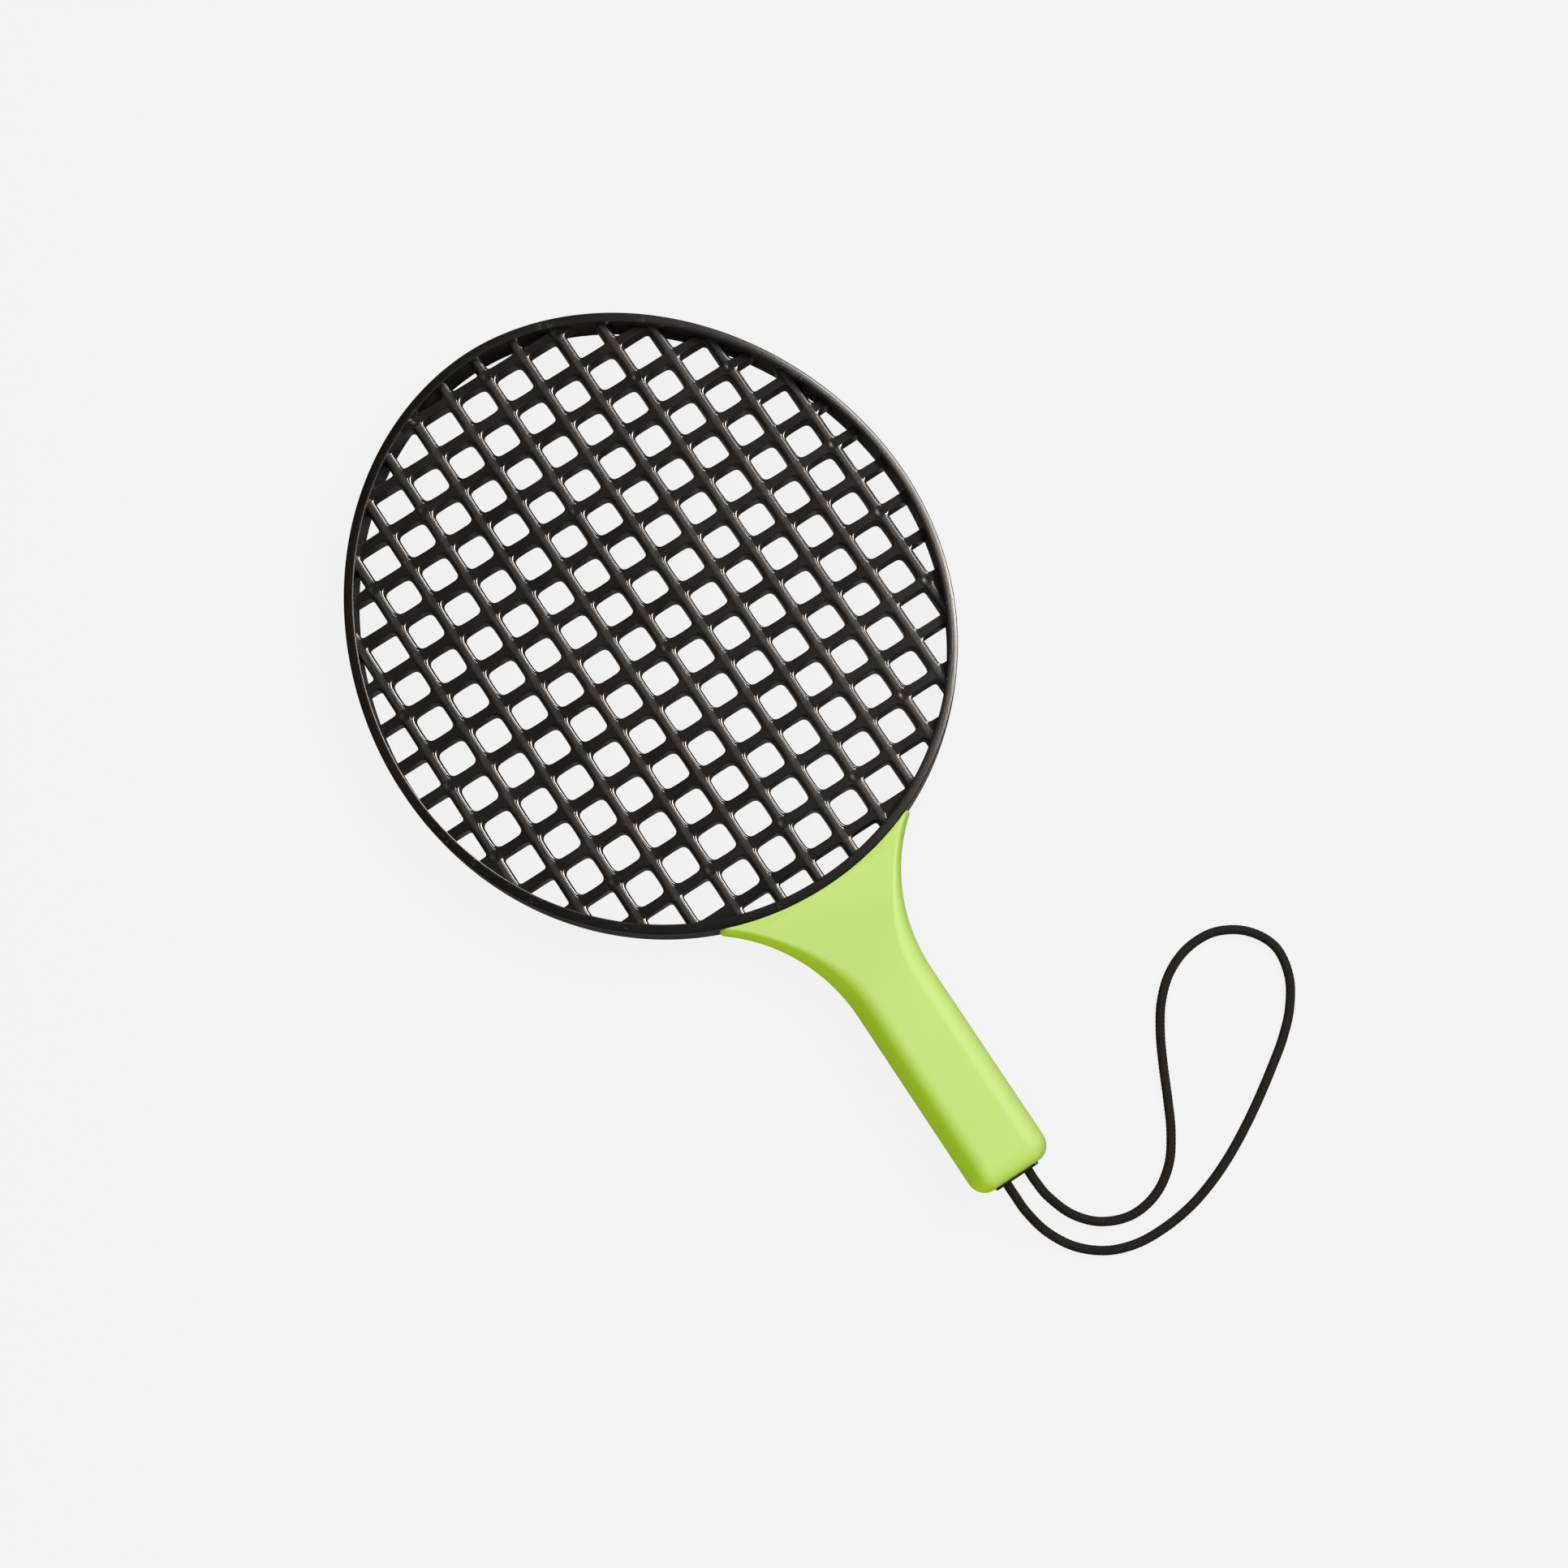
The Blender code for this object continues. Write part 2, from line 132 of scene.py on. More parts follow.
def even_points(line, spacing):
    """Points the same distance apart along a line, and the line's length."""
    lengths = [0.0]
    for start, end in zip(line, line[1:]):
        lengths.append(lengths[-1] + (end - start).length)
    steps = round(lengths[-1] / spacing)
    points = []
    span = 0
    for step in range(steps + 1):
        along = lengths[-1] * step / steps
        while span < len(line) - 2 and lengths[span + 1] < along:
            span += 1
        share = (along - lengths[span]) / (lengths[span + 1] - lengths[span])
        points.append(line[span].lerp(line[span + 1], share))
    return points, lengths[-1]


def braid_height(around, along):
    """How far a strand of the braid stands out, from 0 in the gaps to 1 on the crowns."""
    first = STRANDS * (around + along / BRAID_LAY)
    second = STRANDS * (around - along / BRAID_LAY)
    over = (math.floor(first) + math.floor(second)) % 2 == 0
    across = (first if over else second) % 1.0
    lengthways = (second if over else first) % 1.0
    arch = STRAND_DIP + (1 - STRAND_DIP) * math.sin(math.pi * lengthways)
    return math.sin(math.pi * across) ** STRAND_FULLNESS * arch


def braided_tube(name, points, diameter, spacing):
    """A tube of braid along the points. Its UV map runs once round the tube and in lays along it."""
    shape = bmesh.new()
    layer = shape.loops.layers.uv.new("braid")
    rings = []
    side = None
    for index, point in enumerate(points):
        tangent = (points[min(index + 1, len(points) - 1)] - points[max(index - 1, 0)]).normalized()
        side = Vector((0, 0, 1)).cross(tangent) if side is None else side - tangent * side.dot(tangent)
        side.normalize()
        top = tangent.cross(side)
        ring = []
        for step in range(CORD_RING_SIDES):
            angle = 2 * math.pi * step / CORD_RING_SIDES
            height = braid_height(step / CORD_RING_SIDES, index * spacing)
            radius = diameter / 2 + BRAID_RELIEF * (height - BRAID_MEAN_HEIGHT)
            ring.append(shape.verts.new(point + radius * (side * math.cos(angle) + top * math.sin(angle))))
        rings.append(ring)
    for index, (ring, after) in enumerate(zip(rings, rings[1:])):
        for step in range(CORD_RING_SIDES):
            beside = (step + 1) % CORD_RING_SIDES
            face = shape.faces.new((ring[step], ring[beside], after[beside], after[step]))
            face.smooth = True
            places = ((step, index), (step + 1, index), (step + 1, index + 1), (step, index + 1))
            for loop, (around, along) in zip(face.loops, places):
                loop[layer].uv = (around / CORD_RING_SIDES, along * spacing / BRAID_LAY)
    for ring in (rings[0], rings[-1]):
        shape.faces.new(ring)
    bmesh.ops.recalc_face_normals(shape, faces=shape.faces)
    mesh = bpy.data.meshes.new(name)
    shape.to_mesh(mesh)
    shape.free()
    return put_in_scene(name, mesh)


def set_inputs(tree, node, inputs):
    """Each input, by name or number, gets a value or the socket that feeds it."""
    for place, value in inputs.items():
        if isinstance(value, bpy.types.NodeSocket):
            tree.links.new(value, node.inputs[place])
        else:
            node.inputs[place].default_value = value


def add_node(tree, kind, inputs=(), **settings):
    """A node with its settings and inputs."""
    node = tree.nodes.new(kind)
    for name, value in settings.items():
        setattr(node, name, value)
    set_inputs(tree, node, dict(inputs))
    return node


def noise(tree, place, scale, detail):
    """The height of a noise of the given fineness and detail at a place."""
    inputs = {"Vector": place, "Scale": scale, "Detail": detail}
    return add_node(tree, "ShaderNodeTexNoise", inputs).outputs[0]


def relieve(tree, shader, strength, depth, height):
    """Feeds the shader's normal from a bump."""
    bump = add_node(tree, "ShaderNodeBump", {"Strength": strength, "Distance": depth, "Height": height})
    set_inputs(tree, shader, {"Normal": bump.outputs[0]})


def maths(tree, operation, *values):
    """What the operation makes of the values, each a number or a socket."""
    node = add_node(tree, "ShaderNodeMath", dict(enumerate(values)), operation=operation)
    return node.outputs[0]


def ramp(tree, value, stops):
    """A grey ramp between two stops, each a place and a level."""
    node = add_node(tree, "ShaderNodeValToRGB", {0: value})
    for element, (place, level) in zip(node.color_ramp.elements, stops):
        element.position = place
        element.color = (level, level, level, 1)
    return node.outputs[0]


def mixed(tree, share, first, second):
    """The first colour where the share is 0, the second where it is 1."""
    inputs = {0: share, 6: first, 7: second}
    return add_node(tree, "ShaderNodeMix", inputs, data_type="RGBA").outputs[2]


def effect(name, numbers, outputs):
    """An effect that finishes share, as a node group. It takes a place and some numbers."""
    group = bpy.data.node_groups.new(name, "ShaderNodeTree")
    group.interface.new_socket("Place", in_out="INPUT", socket_type="NodeSocketVector")
    for label, value in numbers.items():
        socket = group.interface.new_socket(label, in_out="INPUT", socket_type="NodeSocketFloat")
        socket.default_value = value
    for label in outputs:
        group.interface.new_socket(label, in_out="OUTPUT", socket_type="NodeSocketFloat")
    return group, group.nodes.new("NodeGroupInput").outputs, group.nodes.new("NodeGroupOutput").inputs


def use_effect(tree, group, inputs):
    """Places a shared effect in a material with its own values."""
    return add_node(tree, "ShaderNodeGroup", inputs, node_tree=group).outputs


def new_finish(name):
    """A material with its nodes and shader, and its place on the piece."""
    material = bpy.data.materials.new(name)
    material.use_nodes = True
    tree = material.node_tree
    shader = tree.nodes["Principled BSDF"]
    place = tree.nodes.new("ShaderNodeTexCoord").outputs["Object"]
    return material, tree, shader, place


def give(piece, material):
    """Makes this the piece's only material."""
    piece.data.materials.clear()
    piece.data.materials.append(material)


def braid_effect():
    """Strands that cross over and under each other: how high each place is, and the fibres in it."""
    group, source, target = effect("braid strands", {"Strands": 8.0}, ("Height", "Fibre"))
    place = add_node(group, "ShaderNodeSeparateXYZ", {0: source["Place"]}).outputs
    first = maths(group, "MULTIPLY", maths(group, "ADD", place["X"], place["Y"]), source["Strands"])
    second = maths(group, "MULTIPLY", maths(group, "SUBTRACT", place["X"], place["Y"]), source["Strands"])
    floors = maths(group, "ADD", maths(group, "FLOOR", first), maths(group, "FLOOR", second))
    under = maths(group, "GREATER_THAN", maths(group, "FLOORED_MODULO", floors, 2.0), 0.5)
    across_over = maths(group, "FLOORED_MODULO", first, 1.0)
    across_under = maths(group, "FLOORED_MODULO", second, 1.0)
    across = add_node(group, "ShaderNodeMix", {0: under, 2: across_over, 3: across_under}).outputs[0]
    lengthways = add_node(group, "ShaderNodeMix", {0: under, 2: across_under, 3: across_over}).outputs[0]
    crown = maths(group, "SINE", maths(group, "MULTIPLY", across, math.pi))
    dome = maths(group, "SINE", maths(group, "MULTIPLY", lengthways, math.pi))
    rounded = maths(group, "POWER", crown, STRAND_FULLNESS)
    height = maths(group, "MULTIPLY", rounded, maths(group, "MULTIPLY_ADD", dome, 0.5, 0.5))
    group.links.new(height, target["Height"])
    twist = maths(group, "MULTIPLY_ADD", lengthways, 2.4, maths(group, "MULTIPLY", across, 5.0))
    yarns = maths(group, "SINE", maths(group, "MULTIPLY", twist, 2 * math.pi))
    group.links.new(maths(group, "MULTIPLY_ADD", yarns, 0.5, 0.5), target["Fibre"])
    return group


def braid_finish():
    """Dull black yarn: painted shade darkens the gaps between the strands so that their crowns are palest,
    with loose fuzz and slow changes in shade.
    """
    material, tree, shader, place = new_finish("black braided polyester")
    uv = add_node(tree, "ShaderNodeUVMap", uv_map="braid").outputs["UV"]
    strands = use_effect(tree, braid_effect(), {"Place": uv, "Strands": float(STRANDS)})
    fuzz = noise(tree, place, FUZZ_FINENESS, 3.0)
    patches = noise(tree, place, SHADE_FINENESS, 2.0)
    threads = maths(tree, "MULTIPLY_ADD", strands["Fibre"], 0.35, 0.65)
    lit = maths(tree, "MULTIPLY", strands["Height"], threads)
    lit = maths(tree, "MULTIPLY", lit, ramp(tree, fuzz, ((0.35, 0.45), (0.68, 1.0))))
    lit = maths(tree, "MULTIPLY", lit, ramp(tree, patches, ((0.3, 0.75), (0.7, 1.0))))
    # Painted shade: the colour follows the height of the strands, darkest in the gaps between them, together
    # with the fibres, the fuzz and the patches
    colour = mixed(tree, lit, BRAID_DARK, BRAID_PALE)
    rough = maths(tree, "MULTIPLY_ADD", fuzz, 0.2, YARN_ROUGHNESS)
    set_inputs(tree, shader, {"Base Color": colour, "Roughness": rough, "Specular IOR Level": YARN_GLOSS})
    relief = maths(tree, "MULTIPLY_ADD", strands["Fibre"], 0.5, maths(tree, "MULTIPLY", fuzz, 0.6))
    relieve(tree, shader, 0.8, BRAID_BUMP, relief)
    return material


cord_finish = braid_finish()

cord_route = [Vector((x, PLUG_FACE_Y + y, 0.0)) for x, y in CORD_ROUTE]
cord_line, cord_length = even_points(smooth_line(cord_route), CORD_RING_STEP)
for index, point in enumerate(cord_line):
    along = cord_length * index / (len(cord_line) - 1)
    from_end = min(along, cord_length - along)
    point.z = MID_Z + (CORD_REST - MID_Z) * ease((from_end - CORD_STRAIGHT) / CORD_DESCENT)
cord_length = sum((end - start).length for start, end in zip(cord_line, cord_line[1:]))
cord = braided_tube("braided_cord", cord_line, CORD_DIAMETER, CORD_RING_STEP)
give(cord, cord_finish)
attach(cord, "root")
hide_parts("wrist_cord")


# Knot
# Inside the handle both ends of the cord are wound into one barrel knot, too big to pass back through the
# plug. It can't be seen on the whole racket; its shape is the common one.

KNOT_Y = -0.1439
KNOT_TURNS = 3
KNOT_TURN_STEPS = 12
# Half the length and half the height of its turns, to the middle of the cord
KNOT_REACH = 0.0030
KNOT_RISE = 0.00163
# Places along the plug's holes, from the plug's face to the knot
KNOT_APPROACH = (PLUG_FACE_Y, -0.1600, -0.1550, -0.1500)
KNOT_RING_STEP = 0.0004
CORD_SPACING = 0.0080

half = CORD_SPACING / 2
knot_route = [Vector((half, y, MID_Z)) for y in KNOT_APPROACH]
for step in range(KNOT_TURNS * KNOT_TURN_STEPS + 1):
    share = step / (KNOT_TURNS * KNOT_TURN_STEPS)
    angle = 2 * math.pi * (KNOT_TURNS * share - 0.25)
    y = KNOT_Y + KNOT_REACH * math.sin(angle)
    z = MID_Z + KNOT_RISE * math.cos(angle)
    knot_route.append(Vector((half - CORD_SPACING * share, y, z)))
knot_route += [Vector((-half, y, MID_Z)) for y in reversed(KNOT_APPROACH)]
knot_line = even_points(smooth_line(knot_route), KNOT_RING_STEP)[0]
knot = braided_tube("barrel_knot", knot_line, CORD_DIAMETER, KNOT_RING_STEP)
give(knot, cord_finish)
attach(knot, "root")
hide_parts("cord_knot")


# Head rim
# A tall ring, the outer wall of the black polypropylene moulding. The halves of the mould met at mid-depth,
# so the wall stands out a hair there. Its upper and lower faces are crowned, and fall away to the outer wall.

HEAD_WIDTH = 0.1960
TIP_REACH = 0.1134
THROAT_REACH = 0.1037
TIP_EXPONENT = 1.94
THROAT_EXPONENT = 2.02
WIDEST_Y = 0.0504
RIM_DEPTH = 0.0130
RIM_WALL = 0.0032
RIM_STEPS = 288
# Heights on the outer wall, and how far it stands out there
PARTING_HEIGHTS = (0.0, 0.0022, 0.0061, 0.00645, 0.0068, 0.0108, 0.0130)
PARTING_BULGE = (0.0, 0.0, 0.00002, 0.00012, 0.00002, 0.0, 0.0)
# How far outwards leans along the racket, because the head is longer than it is wide
OUTWARD_LEAN = 0.8
# The crown: how far in from the outer wall, and how far below the rim's highest line
RIM_CROWN = (
    (0.0, 0.00058), (0.00012, 0.00042), (0.00030, 0.000335), (0.00045, 0.000285), (0.00100, 0.000165),
    (0.00140, 0.000112), (0.00180, 0.000055), (0.00220, 0.0), (0.00275, 0.0), (0.00290, 0.000035),
    (0.00308, 0.000095), (0.00320, 0.00015),
)
# Widths of the rings that carry the crown, from either wall inwards
RIM_INSETS = (0.00012, 0.00018, 0.00015, 0.00055, 0.00040)
RIM_GRAIN_STRETCH = 0.3
RIM_GRAIN_FINENESS = 1.8
GRAIN_FINENESS = 3200.0
PATCH_FINENESS = 45.0
PATCH_ROUGHNESS = 0.12
SPECK_FINENESS = 1500.0
SPECK_RADIUS = 0.10
SPECK_PALENESS = 0.16
SCRATCH_FINENESS = 900.0
SCRATCH_HALF_WIDTH = 0.0035
SCRATCH_PALENESS = 0.55
SCRATCH_ROUGHNESS = 0.15
# How fine the patches are where scratches lie, and how high their noise has to be with none wanted
SCRATCHED_FINENESS = 130.0
SCRATCHED_ABOVE = 0.78
# Which way each set of scratches runs, and how long they are for their width
SCRATCH_SETS = ((0.5, 14.0), (1.35, 20.0), (2.5, 10.0))
WARM_SHEEN = (1.0, 0.93, 0.87, 1)
COAT_ROUGHNESS = 0.15
BLACK = (0.0030, 0.0022, 0.0016)
BLACK_WORN = (0.026, 0.0245, 0.023)
# Where plastic is rubbed: how much rougher it is, and how much of its gloss is gone
RUBBED_ROUGHNESS = 0.16
RUBBED_GLOSS_LOSS = 0.5
# How far a level face and a low chamfer face up, from 0 to 1
LEVEL_FACE = 0.99
LOW_CHAMFER = (0.90, 0.97)
# Places nearer than this count as one
CLOSE = 0.00001


def head_share(x, y, inset=0.0):
    """1 on the head's outline, moved in by the inset; less inside it and more outside."""
    up = y - WIDEST_Y
    reach = TIP_REACH if up > 0 else THROAT_REACH
    exponent = TIP_EXPONENT if up > 0 else THROAT_EXPONENT
    shares = abs(x) / (HEAD_WIDTH / 2 - inset), abs(up) / (reach - inset)
    return (shares[0] ** exponent + shares[1] ** exponent) ** (1 / exponent)


def select_by(piece, kind, wanted):
    """In edit mode, selects the vertices, edges or faces whose middle is wanted."""
    bpy.ops.mesh.select_mode(type=kind)
    bpy.ops.mesh.select_all(action="DESELECT")
    shape = bmesh.from_edit_mesh(piece.data)
    for item in {"VERT": shape.verts, "EDGE": shape.edges, "FACE": shape.faces}[kind]:
        corners = [item.co] if kind == "VERT" else [vertex.co for vertex in item.verts]
        if wanted(sum(corners, Vector()) / len(corners)):
            item.select = True
    shape.select_flush_mode()
    bmesh.update_edit_mesh(piece.data)


def deselect():
    """Leaves nothing selected, because an operator acts on all that is."""
    bpy.ops.object.select_all(action="DESELECT")


def choose(*pieces):
    """Selects these pieces and no others. The first is the active one."""
    deselect()
    for piece in pieces:
        piece.select_set(True)
    bpy.context.view_layer.objects.active = pieces[0]


def start_edit(piece):
    """Opens one piece in edit mode."""
    choose(piece)
    bpy.ops.object.mode_set(mode="EDIT")


def stop_edit():
    """Back to object mode."""
    bpy.ops.object.mode_set(mode="OBJECT")


def select_all():
    """In edit mode, selects all of it."""
    bpy.ops.mesh.select_all(action="SELECT")


def lift(distance):
    """In edit mode, extrudes what is selected and moves it up."""
    bpy.ops.mesh.extrude_region_move(TRANSFORM_OT_translate={"value": (0, 0, distance)})


def face_outwards():
    """In edit mode, turns all the faces outwards."""
    select_all()
    bpy.ops.mesh.normals_make_consistent(inside=False)


def new_piece(name):
    """Names the primitive that was just added, and puts its place in its mesh."""
    bpy.ops.object.transform_apply(location=True, rotation=True, scale=True)
    piece = bpy.context.object
    piece.name = name
    return piece


def apply_modifier(piece, kind, **settings):
    """Adds a modifier, applies it and forgets it."""
    choose(piece)
    modifier = piece.modifiers.new(kind.title(), kind)
    for name, value in settings.items():
        setattr(modifier, name, value)
    bpy.ops.object.modifier_apply(modifier=modifier.name)


def head_circle(name, height, inset, fill):
    """A circle stretched to the head's outline, in two halves from its widest line."""
    deselect()
    radius = HEAD_WIDTH / 2 - inset
    place = (0, WIDEST_Y, height)
    bpy.ops.mesh.primitive_circle_add(vertices=RIM_STEPS, radius=radius, fill_type=fill, location=place)
    piece = new_piece(name)
    start_edit(piece)
    for sign, reach in ((1, TIP_REACH), (-1, THROAT_REACH)):
        select_by(piece, "VERT", lambda co: (co.y - WIDEST_Y) * sign > CLOSE)
        stretch = (1, (reach - inset) / radius, 1)
        bpy.ops.transform.resize(value=stretch, center_override=place)
    stop_edit()
    for vertex in piece.data.vertices:
        share = head_share(vertex.co.x, vertex.co.y, inset)
        vertex.co.x /= share
        vertex.co.y = WIDEST_Y + (vertex.co.y - WIDEST_Y) / share
    return piece


rim = head_circle("head_rim", MID_Z - RIM_DEPTH / 2, 0.0, "NOTHING")
start_edit(rim)
select_all()
for lower, upper in zip(PARTING_HEIGHTS, PARTING_HEIGHTS[1:]):
    lift(upper - lower)
face_outwards()
stop_edit()
for vertex in rim.data.vertices:
    height = vertex.co.z - (MID_Z - RIM_DEPTH / 2)
    nearest = min(range(len(PARTING_HEIGHTS)), key=lambda index: abs(PARTING_HEIGHTS[index] - height))
    outward = Vector((vertex.co.x, (vertex.co.y - WIDEST_Y) * OUTWARD_LEAN, 0)).normalized()
    vertex.co += outward * PARTING_BULGE[nearest]
wall = rim.data.polygons[0]
facing_out = wall.normal.dot(wall.center - Vector((0, WIDEST_Y, MID_Z))) > 0
apply_modifier(rim, "SOLIDIFY", thickness=RIM_WALL, offset=-1.0 if facing_out else 1.0, use_even_offset=True)


def interpolated(table, place):
    """The second value of the table at a place between two of its first ones."""
    for (before, low), (after, high) in zip(table, table[1:]):
        if place < after:
            return low + (high - low) * max(place - before, 0.0) / (after - before)
    return table[-1][1]


start_edit(rim)
select_by(rim, "FACE", lambda co: abs(abs(co.z - MID_Z) - RIM_DEPTH / 2) < CLOSE)
for width in RIM_INSETS:
    bpy.ops.mesh.inset(thickness=width)
stop_edit()
for vertex in rim.data.vertices:
    height = vertex.co.z - MID_Z
    if abs(height) > RIM_DEPTH / 2 - CLOSE:
        from_middle = math.hypot(vertex.co.x, vertex.co.y - WIDEST_Y)
        from_wall = (1 / head_share(vertex.co.x, vertex.co.y) - 1) * from_middle
        vertex.co.z -= math.copysign(interpolated(RIM_CROWN, from_wall), height)


def smooth_by_angle(piece, degrees, crisp_chamfers=False):
    """Smooths all but the sharp edges. With crisp chamfers a flat face stays crisp against a low chamfer."""
    choose(piece)
    bpy.ops.object.shade_smooth_by_angle(angle=math.radians(degrees))
    if crisp_chamfers:
        shape = bmesh.new()
        shape.from_mesh(piece.data)
        for edge in shape.edges:
            faces_up = sorted(abs(face.normal.z) for face in edge.link_faces)
            if faces_up[-1] > LEVEL_FACE and LOW_CHAMFER[0] < faces_up[0] < LOW_CHAMFER[1]:
                edge.smooth = False
        shape.to_mesh(piece.data)
        shape.free()
    apply_modifier(piece, "WEIGHTED_NORMAL", keep_sharp=True)


smooth_by_angle(rim, 32)


def stretched(tree, place, scale):
    """The place scaled along each axis, so that a pattern on it is drawn out where the scale is small."""
    return add_node(tree, "ShaderNodeMapping", {"Vector": place, "Scale": scale}).outputs[0]


def scratches_effect():
    """Fine crossing scratches: 1 in a scratch, 0 between. A larger amount spreads them further."""
    numbers = {"Fineness": SCRATCH_FINENESS, "Amount": 0.3}
    group, source, target = effect("fine scratches", numbers, ("Scratch",))
    total = None
    for turn, stretch in SCRATCH_SETS:
        inputs = {"Vector": source["Place"], "Angle": turn}
        turned = add_node(group, "ShaderNodeVectorRotate", inputs, rotation_type="Z_AXIS").outputs[0]
        drawn = stretched(group, turned, (1.0, 1.0 / stretch, 0.4))
        level = noise(group, drawn, source["Fineness"], 0.0)
        ridge = maths(group, "ABSOLUTE", maths(group, "SUBTRACT", level, 0.5))
        line = maths(group, "LESS_THAN", ridge, SCRATCH_HALF_WIDTH)
        total = line if total is None else maths(group, "MAXIMUM", total, line)
    where = noise(group, source["Place"], SCRATCHED_FINENESS, 3.0)
    spread = maths(group, "MULTIPLY", source["Amount"], 0.5)
    threshold = maths(group, "SUBTRACT", SCRATCHED_ABOVE, spread)
    kept = maths(group, "MULTIPLY", total, maths(group, "GREATER_THAN", where, threshold))
    group.links.new(kept, target["Scratch"])
    return group


def grain_effect():
    """The fine pebbled skin that a spark-eroded mould leaves, and the slow unevenness of its gloss."""
    numbers = {"Grain fineness": GRAIN_FINENESS, "Patch fineness": PATCH_FINENESS}
    group, source, target = effect("moulded grain", numbers, ("Grain", "Patch", "Speckle"))
    speck_inputs = {"Vector": source["Place"], "Scale": SPECK_FINENESS, "Randomness": 1.0}
    specks = add_node(group, "ShaderNodeTexVoronoi", speck_inputs).outputs[0]
    group.links.new(noise(group, source["Place"], source["Grain fineness"], 2.0), target["Grain"])
    group.links.new(noise(group, source["Place"], source["Patch fineness"], 4.0), target["Patch"])
    group.links.new(maths(group, "LESS_THAN", specks, SPECK_RADIUS), target["Speckle"])
    return group


fine_scratches = scratches_effect()
moulded_grain = grain_effect()


def round_the_head(tree, place):
    """A place as how far it is round the rim, out from its middle and up, for grain that runs round."""
    parts = add_node(tree, "ShaderNodeSeparateXYZ", {"Vector": place}).outputs
    up = maths(tree, "SUBTRACT", parts["Y"], WIDEST_Y)
    turn = maths(tree, "ARCTAN2", up, parts["X"])
    squares = maths(tree, "MULTIPLY_ADD", parts["X"], parts["X"], maths(tree, "MULTIPLY", up, up))
    around = maths(tree, "MULTIPLY", turn, RIM_GRAIN_STRETCH * HEAD_WIDTH / 2)
    out = maths(tree, "MULTIPLY", maths(tree, "SQRT", squares), RIM_GRAIN_FINENESS)
    inputs = {"X": around, "Y": out, "Z": parts["Z"]}
    return add_node(tree, "ShaderNodeCombineXYZ", inputs).outputs[0]


def black_plastic(name, colour, roughness, gloss, scratches, grain_depth, grain_place=None, rubbed=None):
    """Black moulded plastic: satin, faintly pebbled, with handling scratches that show a little paler."""
    material, tree, shader, place = new_finish(name)
    grain = use_effect(tree, moulded_grain, {"Place": grain_place(tree, place) if grain_place else place})
    scratch = use_effect(tree, fine_scratches, {"Place": place, "Amount": scratches})["Scratch"]
    share = maths(tree, "MULTIPLY", grain["Speckle"], SPECK_PALENESS)
    share = maths(tree, "MULTIPLY_ADD", scratch, SCRATCH_PALENESS, share)
    share = maths(tree, "ADD", share, ramp(tree, grain["Patch"], ((0.35, 0.0), (0.75, 0.12))))
    smoothest = roughness - PATCH_ROUGHNESS / 2
    rough = maths(tree, "MULTIPLY_ADD", grain["Patch"], PATCH_ROUGHNESS, smoothest)
    rough = maths(tree, "MULTIPLY_ADD", scratch, SCRATCH_ROUGHNESS, rough)
    relief = maths(tree, "SUBTRACT", grain["Grain"], maths(tree, "MULTIPLY", scratch, 0.8))
    set_inputs(tree, shader, {"Coat Weight": gloss, "Coat Roughness": COAT_ROUGHNESS})
    set_inputs(tree, shader, {"Specular Tint": WARM_SHEEN, "Coat Tint": WARM_SHEEN})
    if rubbed:
        mask, paler = rubbed(tree, place)
        share = maths(tree, "ADD", share, paler)
        rough = maths(tree, "MULTIPLY_ADD", mask, RUBBED_ROUGHNESS, rough)
        coat = maths(tree, "MULTIPLY_ADD", mask, -RUBBED_GLOSS_LOSS * gloss, gloss)
        set_inputs(tree, shader, {"Coat Weight": coat})
    worn = mixed(tree, share, (*colour, 1), (*BLACK_WORN, 1))
    set_inputs(tree, shader, {"Base Color": worn, "Roughness": rough})
    relieve(tree, shader, 0.35, grain_depth, relief)
    return material


rim_finish = black_plastic(
    "black rim plastic", BLACK, roughness=0.27, gloss=0.15, scratches=0.35, grain_depth=0.00005,
    grain_place=round_the_head,
)
give(rim, rim_finish)
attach(rim, "root")


# Grid
# The striking face of the same moulding: ribs 14 mm apart with rounded square openings. The ribs along the
# racket carry a low band. Openings beside the rim have square corners, and slivers of openings are closed.

GRID_DEPTH = 0.0066
CELL_PITCH = 0.0140
GRID_Y = 0.0562
FACE_HALF = 0.00580
# How square each ring of an opening's wall is, from the face down
ROUND_CELL = (4.4, 4.5, 4.6, 4.7, 5.0)
SQUARE_CELL = (7.0, 7.5, 8.5, 10.0, 24.0)
CELL_STEPS = 24
# Where a square's border is divided, from the middle of a side to its corner
BORDER_PLACES = (0.0, 0.42, 0.72, 1.0)
SQUARE_CELL_MARGIN = 0.0030
SMALLEST_CELL = 0.0026
CELL_OPENING = 0.0106
# Down the wall of an opening: how far it has closed in across and along the racket, and how deep
CELL_WALL = (
    (0.00025, 0.00025, 0.00009),
    (0.00042, 0.00038, 0.00024),
    (0.00069, 0.00048, 0.00090),
    (0.00079, 0.00062, GRID_DEPTH / 2),
)
# Rows and columns of squares that can reach into the head, counted from the rib crossing at GRID_Y
GRID_ROWS = range(-9, 9)
GRID_COLUMNS = range(-8, 8)
# Across a rib from its middle: how far out, and how high above the face. The right side of a band has this
# crisp profile, and its left side falls away softly.
BAND_PROFILE = (
    (0.0, 0.00021), (0.00050, 0.00020), (0.00074, 0.00018), (0.00092, 0.000145), (0.00102, 0.000105),
    (0.00109, 0.000066), (0.00113, -0.00003), (0.00117, 0.0),
)
